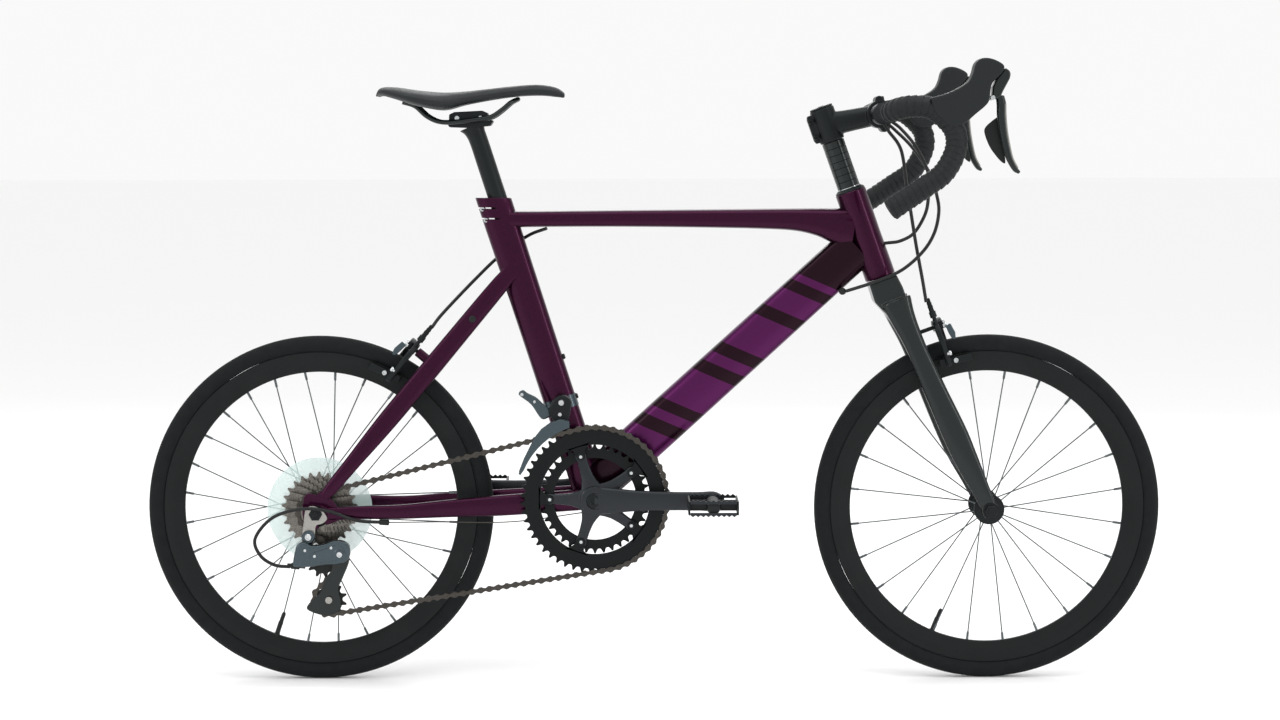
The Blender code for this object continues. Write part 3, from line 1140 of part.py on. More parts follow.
def make_saddle():
    """A lofted saddle: tail, dip and nose, with the wings coming down at the sides."""
    tail = seat(POST_TOP) + Vector((-0.1480, 0, 0.0700))
    stations = ((0.0000, -0.0010, 0.0060, 0.0260), (0.0080, 0.0090, 0.0180, 0.0480),
                (0.0300, 0.0095, 0.0260, 0.0650), (0.0620, 0.0050, 0.0330, 0.0700),
                (0.0960, 0.0020, 0.0360, 0.0600), (0.1280, 0.0035, 0.0270, 0.0400),
                (0.1620, 0.0070, 0.0230, 0.0270), (0.2000, 0.0112, 0.0215, 0.0215),
                (0.2350, 0.0130, 0.0225, 0.0195), (0.2600, 0.0090, 0.0200, 0.0175),
                (0.2730, 0.0010, 0.0120, 0.0110))
    rings = []
    for x, top, deep, half in stations:
        ring = []
        for turn in (0, 30, 60, 90, 120, 150, 180, 215, 250, 290, 325):
            c = math.cos(math.radians(turn))
            s = math.sin(math.radians(turn))
            drop = 0.45 * deep * (1 - s) if s >= 0 else 0.45 * deep - 0.55 * deep * s * (0.35 + 0.65 * abs(c))
            ring.append(tail + Vector((x, half * c, top - drop)))
        rings.append(ring)
    saddle = add_object("saddle", *loft(rings), SADDLE_COVER)
    line = rail_route()
    line[0] += (line[0] - line[1]).normalized() * GAP
    line[-1] += (line[-1] - line[-2]).normalized() * GAP
    socket = add_object("guide_socket", *loft(bar_rings(line, RAIL_RADIUS + GAP, 8)), SADDLE_COVER)
    return cut(saddle, socket)


make_seatpost()
add_object("saddle_rails", *loft(bar_rings(rail_route(), RAIL_RADIUS, 8)), BLACK_ALLOY)
make_saddle()

# ------------------------------------------------------------------ cables
HEAD_FOOT = steer(HEAD_TUBE_FOOT)
TOP_TUBE_END = Vector((TOP_TUBE_REAR, 0, TOP_TUBE_TOP))


def from_place(anchor, offsets):
    """Route points given from the piece that they run beside."""
    return [anchor + Vector(offset) for offset in offsets]


cable("housing_front_brake",
      from_place(BAR_CENTRE, ((0.0110, -0.0280, -0.0249), (0.0289, -0.0320, -0.0529), (0.0374, -0.0350, -0.1099)))
      + from_place(CALIPER_FOOT_FRONT, ((-0.0361, -0.0360, 0.1728), (-0.0276, -0.0340, 0.1228),
                                        (-0.0176, -0.0290, 0.0728), (-0.0116, -0.0260, 0.0398))))
cable("housing_rear_brake",
      from_place(BAR_CENTRE, ((0.0269, -0.0500, -0.0219), (0.0469, -0.0640, -0.0479), (0.0650, -0.0620, -0.0859)))
      + from_place(HEAD_FOOT, ((0.0644, -0.0450, 0.1168), (0.0614, -0.0300, 0.0918), (0.0474, -0.0150, 0.0648),
                               (0.0284, -0.0050, 0.0528), (0.0104, 0.0000, 0.0498))))
cable("housing_shift",
      from_place(BAR_CENTRE, ((0.0269, 0.0500, -0.0219), (0.0509, 0.0300, -0.0479), (0.0730, -0.0100, -0.0859)))
      + from_place(HEAD_FOOT, ((0.0784, -0.0300, 0.1188), (0.0804, -0.0380, 0.0948), (0.0734, -0.0420, 0.0648),
                               (0.0564, -0.0440, 0.0378), (0.0264, -0.0440, 0.0118), (-0.0116, -0.0400, -0.0052),
                               (-0.0366, -0.0300, -0.0142), (-0.0516, -0.0240, -0.0192))))
cable("cable_rear_brake",
      from_place(TOP_TUBE_END, ((0.0649, 0.0080, -0.0255), (0.0409, 0.0180, -0.0345), (0.0159, 0.0230, -0.0505),
                                (-0.0111, 0.0220, -0.0715)))
      + from_place(CALIPER_FOOT_REAR, ((0.0868, 0.0140, 0.1060), (0.0568, 0.0000, 0.0750),
                                       (0.0348, -0.0120, 0.0510), (0.0238, -0.0200, 0.0360))))
cable("cable_rear_shift",
      from_place(REAR_AXLE - SIDE * REAR_HUB_WIDTH / 2,
                 ((0.0990, 0.0090, -0.0145), (0.0590, -0.0050, -0.0095), (0.0190, -0.0200, 0.0065),
                  (-0.0210, -0.0230, 0.0095), (-0.0610, -0.0210, -0.0035), (-0.0860, -0.0200, -0.0335),
                  (-0.0790, -0.0180, -0.0585), (-0.0590, -0.0160, -0.0725), (-0.0370, -0.0140, -0.0755))))
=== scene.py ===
# %% [markdown]
# # A small-wheel road bicycle
# The moving CAD model is loaded as a fixed frame, and every visible piece is made again over it in
# finer form: painted tubes, wheels, drive train, brakes, bar and saddle. Each piece rides on the CAD
# body that carries it, so that it turns or slides with its joint.

# %% Load the frame
import json
import math

import bmesh
import bpy
from mathutils import Matrix, Vector


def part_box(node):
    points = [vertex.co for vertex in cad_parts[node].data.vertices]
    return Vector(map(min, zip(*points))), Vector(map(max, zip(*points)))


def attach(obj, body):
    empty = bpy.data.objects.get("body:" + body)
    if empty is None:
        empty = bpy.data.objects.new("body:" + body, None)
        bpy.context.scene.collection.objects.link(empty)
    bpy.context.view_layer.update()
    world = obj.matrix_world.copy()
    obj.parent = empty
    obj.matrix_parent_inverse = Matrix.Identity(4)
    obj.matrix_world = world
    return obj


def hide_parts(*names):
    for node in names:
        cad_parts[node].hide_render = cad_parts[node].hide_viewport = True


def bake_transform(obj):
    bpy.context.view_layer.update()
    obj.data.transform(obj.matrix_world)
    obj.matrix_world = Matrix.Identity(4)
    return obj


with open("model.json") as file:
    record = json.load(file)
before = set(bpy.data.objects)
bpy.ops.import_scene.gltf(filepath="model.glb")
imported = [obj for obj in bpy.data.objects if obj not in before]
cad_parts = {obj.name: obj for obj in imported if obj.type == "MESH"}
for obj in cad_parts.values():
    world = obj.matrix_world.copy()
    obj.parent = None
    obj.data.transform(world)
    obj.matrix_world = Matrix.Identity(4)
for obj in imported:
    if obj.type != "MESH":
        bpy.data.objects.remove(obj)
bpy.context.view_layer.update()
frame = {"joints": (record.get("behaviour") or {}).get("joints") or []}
joints = {joint["name"]: joint for joint in frame["joints"]}

# %% Where things turn
SIDE = Vector((0, 1, 0))
UP = Vector((0, 0, 1))
front_axle = Vector(joints["front_wheel_spin"]["pos_m"])
rear_axle = Vector(joints["rear_wheel_spin"]["pos_m"])
bottom = Vector(joints["crank_turn"]["pos_m"])
steer_up = Vector(joints["steering_turn"]["axis"]).normalized()
steer_forward = SIDE.cross(steer_up).normalized()
steer_foot = Vector(joints["steering_turn"]["pos_m"]) - steer_up * 0.4
seat_up = Vector(joints["seatpost_height"]["axis"]).normalized()
seat_forward = SIDE.cross(seat_up).normalized()
TYRE_RADIUS = front_axle.z
print("wheelbase", round(front_axle.x - rear_axle.x, 3), "tyre radius", round(TYRE_RADIUS, 4))


def on_middle(joint):
    """Where a joint's axis crosses the bicycle's middle plane."""
    x, _, z = joints[joint]["pos_m"]
    return Vector((x, 0, z))


def steer(along, forward=0.0, side=0.0):
    return steer_foot + steer_up * along + steer_forward * forward + SIDE * side


def seat(along, forward=0.0, side=0.0):
    return bottom + seat_up * along + seat_forward * forward + SIDE * side


# %% [markdown]
# ## Camera, floor and light
# The view is the plain side view that shows a bicycle's drive train. The camera comes first, because
# everything else is judged from it. A wide pale floor and large soft lamps give long, even
# highlights on the painted tubes, and two narrow strips draw bright lines along them.

# %% The object helper and the camera
def into_scene(name, data):
    """A new object with the given data, linked into the scene."""
    made = bpy.data.objects.new(name, data)
    bpy.context.scene.collection.objects.link(made)
    return made


camera_data = bpy.data.cameras.new("camera")
camera_data.sensor_width = 36.0
camera_data.lens = 73.27
camera = into_scene("camera", camera_data)
camera.location = (-0.0193, -3.805, 0.781)
camera.rotation_euler = (math.radians(90 - 4.67), math.radians(0.12), 0)
bpy.context.scene.camera = camera


# %% Colours and nodes
def linear(value):
    """One channel of an sRGB colour, from 0 to 1, as the light that it stands for."""
    return value / 12.92 if value <= 0.04045 else ((value + 0.055) / 1.055) ** 2.4


def colour(text):
    """A linear colour from a hex text such as 3a0d2e."""
    return (*[linear(int(text[i:i + 2], 16) / 255) for i in (0, 2, 4)], 1.0)


def add_node(tree, kind, wired=None, **settings):
    """A node with its settings, and each input wired to a socket or set to a value."""
    made = tree.nodes.new(kind)
    for key, value in settings.items():
        setattr(made, key, value)
    for key, value in (wired or {}).items():
        socket = made.inputs[key]
        if isinstance(value, bpy.types.NodeSocket):
            tree.links.new(value, socket)
        else:
            socket.default_value = value
    return made


def maths(tree, operation, *values):
    """The result of a maths node over sockets or numbers."""
    return add_node(tree, "ShaderNodeMath", dict(enumerate(values)), operation=operation).outputs[0]


def new_finish(name, base, **sockets):
    """A material named for what it is, its tree and its shader, with plain sockets set."""
    made = bpy.data.materials.new(name)
    made.use_nodes = True
    shader = made.node_tree.nodes["Principled BSDF"]
    shader.inputs["Base Color"].default_value = colour(base)
    for key, value in sockets.items():
        shader.inputs[key.replace("_", " ")].default_value = value
    made.diffuse_color = colour(base)
    return made, made.node_tree, shader


# %% Floor and lamps
floor_finish, tree, shader = new_finish("painted_studio_floor", "fbfbfb", Roughness=0.9)
shader.inputs["Specular IOR Level"].default_value = 0.1
mesh = bpy.data.meshes.new("floor")
mesh.from_pydata([(-40, -40, 0), (40, -40, 0), (40, 60, 0), (-40, 60, 0)], [], [(0, 1, 2, 3)])
mesh.materials.append(floor_finish)
floor = into_scene("floor", mesh)

world = bpy.data.worlds.new("studio")
bpy.context.scene.world = world
world.use_nodes = True
world.node_tree.nodes["Background"].inputs["Color"].default_value = (1, 1, 1, 1)
world.node_tree.nodes["Background"].inputs["Strength"].default_value = 0.95
# The plain view transform keeps the pale studio white and the black parts black.
bpy.context.scene.view_settings.view_transform = "Standard"


def add_lamp(name, place, target, width, height, watts):
    data = bpy.data.lights.new(name, "AREA")
    data.shape = "RECTANGLE"
    data.size = width
    data.size_y = height
    data.energy = watts
    made = into_scene(name, data)
    made.location = place
    made.rotation_euler = (Vector(target) - Vector(place)).to_track_quat("-Z", "Y").to_euler()


add_lamp("overhead", (0.0, -0.6, 3.2), (0, 0, 0.4), 4.0, 2.4, 44)
add_lamp("left_strip", (-2.6, -2.2, 1.6), (0, 0, 0.5), 0.5, 2.2, 16)
add_lamp("right_strip", (2.8, -1.8, 1.5), (0.2, 0, 0.5), 0.4, 2.2, 16)
add_lamp("back_strip", (0.4, 2.8, 2.2), (0, 0, 0.5), 3.0, 0.6, 22)


# %% [markdown]
# ## Helpers that make shapes
# Most of a bicycle is tubes, turned parts and flat plates. A loft joins rings of points into a tube,
# a lathe turns a profile about an axle, and a plate carries an outline sideways. They come first, so
# that each piece below is only its own numbers.

# %% Rings, lofts and pieces
def face_outwards(mesh):
    """Each face of a closed mesh turned to point out."""
    work = bmesh.new()
    work.from_mesh(mesh)
    bmesh.ops.recalc_face_normals(work, faces=work.faces[:])
    work.to_mesh(mesh)
    work.free()


def add_piece(name, points, faces, finish, smooth=35.0):
    """A closed mesh piece in world place, its faces turned outwards."""
    mesh = bpy.data.meshes.new(name)
    mesh.from_pydata([tuple(p) for p in points], [], faces)
    face_outwards(mesh)
    mesh.shade_smooth()
    mesh.set_sharp_from_angle(angle=math.radians(smooth))
    mesh.materials.append(finish)
    return into_scene(name, mesh)


def settle(piece, body, *nodes, slot=None):
    """The piece rides on its body and stands for its CAD nodes."""
    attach(piece, body)
    if nodes:
        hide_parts(*nodes)
    return piece


def loft(rings, closed=False):
    count = len(rings[0])
    points = [p for ring in rings for p in ring]
    faces = []
    for i in range(len(rings) if closed else len(rings) - 1):
        low, high = i * count, (i + 1) % len(rings) * count
        for j in range(count):
            k = (j + 1) % count
            faces.append((low + j, low + k, high + k, high + j))
    if not closed:
        last = (len(rings) - 1) * count
        faces.append(tuple(range(count))[::-1])
        faces.append(tuple(last + j for j in range(count)))
    return points, faces


def oval(centre, tall, wide, half_height, half_width, count, square=2.0):
    """A rounded ring: square 2 is an ellipse, and higher is boxier."""
    ring = []
    for i in range(count):
        turn = 2 * math.pi * (i + 0.5) / count
        c, s = math.cos(turn), math.sin(turn)
        u = math.copysign(abs(c) ** (2 / square), c) * half_width
        v = math.copysign(abs(s) ** (2 / square), s) * half_height
        ring.append(centre + wide * u + tall * v)
    return ring


def spline(values, steps):
    """A smooth run through rows of numbers or points, as rows."""
    ends = [[2 * a - b for a, b in zip(values[0], values[1])], *values,
            [2 * a - b for a, b in zip(values[-1], values[-2])]]
    rows = []
    for i in range(1, len(ends) - 2):
        for j in range(steps):
            t = j / steps
            rows.append([0.5 * (2 * b + (c - a) * t + (2 * a - 5 * b + 4 * c - d) * t * t
                                + (3 * b - 3 * c + d - a) * t ** 3)
                         for a, b, c, d in zip(*ends[i - 1:i + 3])])
    rows.append(list(values[-1]))
    return rows


def shaped_tube(stations, count=48, square=2.0, steps=8, dome=0.0):
    """Rings along stations of (x, y, z, half height, half width), kept upright to the side."""
    rows = spline([list(s) for s in stations], steps)
    rings = []
    for i, row in enumerate(rows):
        here = Vector(row[:3])
        before, after = Vector(rows[max(i - 1, 0)][:3]), Vector(rows[min(i + 1, len(rows) - 1)][:3])
        tangent = (after - before).normalized()
        tall = tangent.cross(SIDE)
        if tall.length < 0.3:
            tall = UP - tangent * tangent.z
        tall.normalize()
        rings.append(oval(here, tall, tangent.cross(tall), row[3], row[4], count, square))
    if dome:
        for end, step in ((0, -1), (-1, 1)):
            middle = sum(rings[end], Vector()) / count
            tangent = (Vector(rows[end][:3]) - Vector(rows[end - step][:3])).normalized()
            caps = []
            for k in (1, 2, 3):
                turn = math.pi / 2 * k / 3.2
                caps.append([middle + (p - middle) * math.cos(turn) + tangent * dome * math.sin(turn)
                             for p in rings[end]])
            rings = caps[::-1] + rings if end == 0 else rings + caps
    return loft(rings)


def lathe(profile, centre, axis, segments=64, closed=False):
    """A profile of (height, radius) turned about an axis."""
    along = Vector(axis).normalized()
    first = along.cross(SIDE)
    if first.length < 1e-6:
        first = Vector((1, 0, 0))
    first.normalize()
    second = along.cross(first)
    rings = []
    for height, radius in profile:
        rings.append([Vector(centre) + along * height + (first * math.cos(2 * math.pi * i / segments)
                      + second * math.sin(2 * math.pi * i / segments)) * radius for i in range(segments)])
    return loft(rings, closed)


def add_turned(name, profile, centre, axis, segments, finish, body, *nodes, slot=None, closed=False,
               smooth=35.0):
    """A lathed piece that rides on its body and stands for its CAD nodes."""
    piece = add_piece(name, *lathe(profile, centre, axis, segments, closed), finish, smooth)
    return settle(piece, body, *nodes, slot=slot)


def even_route(points, spacing):
    """Points an even distance apart on a smooth curve through a route."""
    dense = [Vector(row) for row in spline([list(p) for p in points], 24)]
    lengths = [0.0]
    for a, b in zip(dense, dense[1:]):
        lengths.append(lengths[-1] + (b - a).length)
    steps = max(3, round(lengths[-1] / spacing))
    found, at = [], 0
    for i in range(steps + 1):
        want = lengths[-1] * i / steps
        while at < len(lengths) - 2 and lengths[at + 1] < want:
            at += 1
        found.append(dense[at].lerp(dense[at + 1], (want - lengths[at]) / (lengths[at + 1] - lengths[at])))
    return found


def carried_rings(line, radius, count, start=None):
    """Round rings carried along a line without twist; radius may depend on the place along it."""
    rings, wide = [], Vector(start or (0, 0, 1))
    for i, point in enumerate(line):
        tangent = (line[min(i + 1, len(line) - 1)] - line[max(i - 1, 0)]).normalized()
        wide = (wide - tangent * wide.dot(tangent)).normalized()
        other = tangent.cross(wide)
        size = radius(i / (len(line) - 1)) if callable(radius) else radius
        rings.append([point + (wide * math.cos(2 * math.pi * k / count)
                               + other * math.sin(2 * math.pi * k / count)) * size for k in range(count)])
    return rings


def plate(outline, low, high, place):
    """An outline of (u, v) carried from low to high; place turns (u, v, w) into a point."""
    return loft([[place(u, v, w) for u, v in outline] for w in (low, high)])


def flat(u, v, w):
    """A side view's outline: u ahead, v up, w to the side."""
    return Vector((u, w, v))


def smooth_outline(rows, steps):
    return [row[:2] for row in spline(rows, steps)]


def merged(parts):
    """Several (points, faces) pairs as one."""
    points, faces = [], []
    for more, sides in parts:
        first = len(points)
        points += more
        faces += [tuple(first + i for i in side) for side in sides]
    return points, faces


def round_edges(piece, width, segments=2, angle=40):
    """Every hard part has a small radius that catches a line of light."""
    step = piece.modifiers.new("edge_radius", "BEVEL")
    step.width = width
    step.segments = segments
    step.limit_method = "ANGLE"
    step.angle_limit = math.radians(angle)
    step.use_clamp_overlap = True
    step.harden_normals = False
    return piece


def as_plain_mesh(piece):
    """The piece's modifiers are worked out, and the result replaces its mesh."""
    bpy.context.view_layer.update()
    solved = piece.evaluated_get(bpy.context.evaluated_depsgraph_get())
    mesh = bpy.data.meshes.new_from_object(solved)
    piece.modifiers.clear()
    piece.data = mesh
    return piece


def softened(piece, voxel, passes):
    """A rubber or cast shape with no hard edge: remeshed fine, then smoothed."""
    step = piece.modifiers.new("voxels", "REMESH")
    step.mode = "VOXEL"
    step.voxel_size = voxel
    step.use_smooth_shade = True
    smooth = piece.modifiers.new("smooth", "SMOOTH")
    smooth.factor = 0.5
    smooth.iterations = passes
    finish = piece.data.materials[0]
    as_plain_mesh(piece)
    piece.data.materials.clear()
    piece.data.materials.append(finish)
    piece.data.shade_smooth()
    return piece


def cut_out(piece, shape, finish):
    """A shape is cut right out of the piece."""
    cutter = add_piece("cutter", *shape, finish)
    step = piece.modifiers.new("cut", "BOOLEAN")
    step.solver = "EXACT"
    step.operation = "DIFFERENCE"
    step.object = cutter
    as_plain_mesh(piece)
    bpy.data.objects.remove(cutter)


# %% [markdown]
# ## Copies round an axle
# Spokes, teeth, bolts and spider arms all repeat by turning about one axle. One Geometry Nodes tree
# does it for all of them: it makes a point per copy, turns each copy about Y by its share of a
# circle, welds what touches, and gives the finish.

# %% The turning tree
def new_tree(name, inputs, output):
    """A geometry tree with its inputs as (name, kind), and the sockets that they arrive on."""
    tree = bpy.data.node_groups.new(name, "GeometryNodeTree")
    for label, kind in inputs:
        tree.interface.new_socket(label, in_out="INPUT", socket_type="NodeSocket" + kind)
    tree.interface.new_socket(output, in_out="OUTPUT", socket_type="NodeSocketGeometry")
    return tree, add_node(tree, "NodeGroupInput").outputs


def end_tree(tree, geometry, finish):
    """The tree gives its geometry with the finish on it."""
    done = add_node(tree, "GeometryNodeSetMaterial", {"Geometry": geometry, "Material": finish})
    add_node(tree, "NodeGroupOutput", {0: done.outputs[0]})
    return tree


def make_turning_tree():
    tree, given = new_tree(
        "copies_round_axle",
        (("Piece", "Geometry"), ("Copies", "Int"), ("Weld", "Float"), ("Finish", "Material")), "Made")
    line = add_node(tree, "GeometryNodeMeshLine", {"Count": given["Copies"], "Offset": (0, 0, 0)})
    index = add_node(tree, "GeometryNodeInputIndex").outputs[0]
    share = maths(tree, "DIVIDE", index, given["Copies"])
    angle = maths(tree, "MULTIPLY", share, 2 * math.pi)
    turn = add_node(tree, "ShaderNodeCombineXYZ", {"Y": angle}).outputs[0]
    copies = add_node(tree, "GeometryNodeInstanceOnPoints",
                      {"Points": line.outputs[0], "Instance": given["Piece"], "Rotation": turn}).outputs[0]
    real = add_node(tree, "GeometryNodeRealizeInstances", {"Geometry": copies}).outputs[0]
    welded = add_node(
        tree, "GeometryNodeMergeByDistance", {"Geometry": real, "Distance": given["Weld"]}).outputs[0]
    return end_tree(tree, welded, given["Finish"])


turning_tree = make_turning_tree()


def run_tree(piece, tree, **values):
    """Sets a tree's named inputs on the piece, then keeps the result as a plain mesh."""
    step = piece.modifiers.new(tree.name, "NODES")
    step.node_group = tree
    for item in tree.interface.items_tree:
        if item.in_out == "INPUT" and item.name in values:
            step[item.identifier] = values[item.name]
    finish = values.get("Finish")
    as_plain_mesh(piece)
    if finish and not piece.data.materials:
        piece.data.materials.append(finish)
    return piece


def turned_copies(name, shape, copies, centre, finish, weld=0.000001, smooth=35.0):
    """A shape made about the origin, copied round Y, then placed on its axle."""
    piece = add_piece(name, *shape, finish, smooth)
    run_tree(piece, turning_tree, Copies=copies, Weld=weld, Finish=finish)
    piece.data.transform(Matrix.Translation(centre))
    piece.data.set_sharp_from_angle(angle=math.radians(smooth))
    return piece


print("turning tree has", len(turning_tree.nodes), "nodes")


# %% [markdown]
# ## Finishes
# Each finish starts from what the part is really made of. Black parts are the hard ones: satin
# anodised alloy, gloss paint, rubber and tape differ only in roughness, in grain and in how wide
# their highlights are, so each gets its own.

# %% Metallic lacquer for the frame
def speckle(tree, spacing_mm, detail=2.0):
    """Fine noise with the given spacing in millimetres, on the piece's own coordinates."""
    place = add_node(tree, "ShaderNodeTexCoord").outputs["Object"]
    return add_node(
        tree, "ShaderNodeTexNoise", {"Vector": place, "Scale": 1000 / spacing_mm, "Detail": detail})


def blended(tree, share, low, high):
    """Two colours mixed by a share."""
    mix = add_node(tree, "ShaderNodeMix", {"Factor": share}, data_type="RGBA")
    for socket, value in ((mix.inputs[6], low), (mix.inputs[7], high)):
        if isinstance(value, bpy.types.NodeSocket):
            tree.links.new(value, socket)
        else:
            socket.default_value = colour(value)
    return mix.outputs[2]


def stretched(tree, value, low, high, to_low=0.0, to_high=1.0):
    """A value's range stretched to another, and held inside it."""
    return add_node(tree, "ShaderNodeMapRange", {"Value": value, "From Min": low, "From Max": high,
                                                 "To Min": to_low, "To Max": to_high}).outputs[0]


def bumped(tree, shader, height, depth_mm):
    """A height pattern as small relief, its depth in millimetres."""
    bump = add_node(tree, "ShaderNodeBump", {"Height": height, "Distance": depth_mm / 1000, "Strength": 1.0})
    tree.links.new(bump.outputs[0], shader.inputs["Normal"])


def make_lacquer(name, flake_low, flake_high, graphic=False):
    """Aluminium flake in burgundy lacquer: a soft wide highlight under a sharp clear one."""
    made, tree, shader = new_finish(name, flake_high, Metallic=0.85, Roughness=0.30, Specular_IOR_Level=0.25,
                                    Coat_Weight=0.14, Coat_Roughness=0.05)
    # Flakes of about 0.1 mm are drawn at 0.6 mm, so that they show at all.
    flakes = stretched(tree, speckle(tree, 0.6).outputs[0], 0.35, 0.65)
    paint = blended(tree, flakes, flake_low, flake_high)
    if graphic:
        paint = band_graphic(tree, paint)
    tree.links.new(paint, shader.inputs["Base Color"])
    ripple = speckle(tree, 9.0).outputs[0]
    bumped(tree, shader, ripple, 0.012)
    return made


DOWN_TUBE_ANGLE = math.radians(42.3)


def band_graphic(tree, paint):
    """Wide slanted bands round the down tube, in a lighter purple on a darker ground."""
    place = add_node(tree, "ShaderNodeTexCoord").outputs["Object"]
    turned = add_node(tree, "ShaderNodeMapping", {"Vector": place, "Location": (0.086, 0, -0.271)})
    along = add_node(tree, "ShaderNodeVectorMath",
                     {0: turned.outputs[0], 1: (math.cos(DOWN_TUBE_ANGLE), 0, math.sin(DOWN_TUBE_ANGLE))},
                     operation="DOT_PRODUCT").outputs["Value"]
    across = add_node(tree, "ShaderNodeVectorMath",
                      {0: turned.outputs[0], 1: (-math.sin(DOWN_TUBE_ANGLE), 0, math.cos(DOWN_TUBE_ANGLE))},
                      operation="DOT_PRODUCT").outputs["Value"]
    slant = maths(tree, "MULTIPLY_ADD", across, 0.45, along)
    share = None
    for start, end in ((0.098, 0.135), (0.156, 0.172), (0.190, 0.252), (0.272, 0.290), (0.310, 0.372),
                       (0.392, 0.428), (0.446, 0.458)):
        inside = maths(tree, "COMPARE", slant, (start + end) / 2, (end - start) / 2)
        share = inside if share is None else maths(tree, "MAXIMUM", share, inside)
    return blended(tree, share, paint, "4e1449")


burgundy = make_lacquer("burgundy_metallic_lacquer", "22041a", "3e0b2e")
burgundy_banded = make_lacquer("burgundy_lacquer_with_bands", "16020e", "240616", graphic=True)


# %% Black paints and alloys
def make_grained(name, low, high, grain_mm, depth_mm, **sockets):
    """A surface with a fine grain that changes both its colour and its relief."""
    made, tree, shader = new_finish(name, high, **sockets)
    grain = speckle(tree, grain_mm, 4.0).outputs[0]
    tree.links.new(blended(tree, stretched(tree, grain, 0.35, 0.65), low, high), shader.inputs["Base Color"])
    rough = sockets.get("Roughness", 0.5)
    wear = speckle(tree, 40.0, 3.0).outputs[0]
    tree.links.new(stretched(tree, wear, 0.3, 0.7, rough * 0.88, rough * 1.12), shader.inputs["Roughness"])
    bumped(tree, shader, grain, depth_mm)
    return made


fork_gloss = make_grained(
    "gloss_black_painted_alloy", "07100f", "0c1716", 0.6, 0.004, Metallic=0.3, Roughness=0.30,
    Specular_IOR_Level=0.3, Coat_Weight=0.35, Coat_Roughness=0.08)
satin_black = make_grained(
    "bead_blasted_black_anodised_alloy", "101415", "181d1f", 0.35, 0.012, Metallic=0.65, Roughness=0.42)
crank_slate = make_grained(
    "satin_painted_forged_alloy", "11161a", "1a2026", 0.4, 0.008, Metallic=0.55, Roughness=0.38,
    Coat_Weight=0.25, Coat_Roughness=0.3)
ring_black = make_grained(
    "hard_anodised_chainring_alloy", "0b0e0f", "121516", 0.5, 0.006, Metallic=0.5, Roughness=0.45,
    Specular_IOR_Level=0.3)
rim_black = make_grained("satin_black_painted_rim", "080b0c", "0e1213", 0.5, 0.006, Roughness=0.55,
                         Specular_IOR_Level=0.22)
steel_plated = make_grained(
    "nickel_plated_steel", "8c8a86", "a9a7a2", 0.8, 0.006, Metallic=1.0, Roughness=0.28)
chain_steel = make_grained("oiled_chain_steel", "3a3835", "57534f", 0.7, 0.010, Metallic=1.0, Roughness=0.38)
cog_steel = make_grained(
    "plated_cassette_steel", "5a5753", "85817b", 1.2, 0.010, Metallic=1.0, Roughness=0.34)
spoke_steel = make_grained(
    "drawn_stainless_spoke", "4a4e50", "63686a", 2.0, 0.002, Metallic=1.0, Roughness=0.3)
bright_steel = make_grained(
    "polished_steel_bolt", "b9bdbe", "d0d3d4", 1.5, 0.003, Metallic=1.0, Roughness=0.2)
grey_alloy = make_grained(
    "painted_grey_alloy", "2c373b", "43525a", 0.4, 0.006, Metallic=0.85, Roughness=0.28, Coat_Weight=0.5,
    Coat_Roughness=0.1)
black_plastic = make_grained("moulded_nylon", "0b0e0f", "111415", 0.6, 0.015, Roughness=0.5,
                             Specular_IOR_Level=0.3)
cable_sheath = make_grained("extruded_cable_sheath", "070909", "0c0e0f", 0.8, 0.006, Roughness=0.36,
                            Specular_IOR_Level=0.35)
pad_rubber = make_grained("brake_pad_rubber", "101213", "171a1b", 0.6, 0.03, Roughness=0.8,
                          Specular_IOR_Level=0.25)
hood_rubber = make_grained("moulded_soft_rubber", "0e1213", "151a1c", 0.5, 0.020, Roughness=0.56,
                           Specular_IOR_Level=0.3)
saddle_cover = make_grained("matt_synthetic_saddle_cover", "0e1315", "151b1e", 0.7, 0.030, Roughness=0.52,
                            Specular_IOR_Level=0.35)


# %% Tyre rubber, bar tape and clear plastic
def make_tyre_rubber(name, axle):
    """Tyre rubber: matt, a little dusty, with fine cuts across both shoulders."""
    made, tree, shader = new_finish(name, "0c1011", Roughness=0.78, Specular_IOR_Level=0.22)
    place = add_node(tree, "ShaderNodeTexCoord").outputs["Object"]
    centred = add_node(
        tree, "ShaderNodeMapping", {"Vector": place, "Location": (-axle.x, 0, -axle.z)}).outputs[0]
    parts = add_node(tree, "ShaderNodeSeparateXYZ", {"Vector": centred}).outputs
    turn = maths(tree, "ARCTAN2", parts["Z"], parts["X"])
    # Cuts every 5 mm round a 507 mm tyre, slanting with the distance from the middle.
    lean = maths(tree, "ABSOLUTE", parts["Y"])
    phase = maths(tree, "MULTIPLY", lean, 900.0)
    wave = maths(tree, "MULTIPLY_ADD", turn, 318.0, phase)
    cuts = maths(tree, "SINE", wave)
    cuts = stretched(tree, cuts, 0.4, 0.8)
    outer = stretched(tree, lean, 0.0035, 0.0045)
    inner = stretched(tree, lean, 0.0100, 0.0090)
    tread = maths(tree, "MULTIPLY", outer, inner)
    height = maths(tree, "MULTIPLY", cuts, tread)
    bumped(tree, shader, height, -0.35)
    dust = speckle(tree, 14.0, 5.0).outputs[0]
    tree.links.new(
        blended(tree, stretched(tree, dust, 0.3, 0.75), "090c0e", "101415"), shader.inputs["Base Color"])
    return made


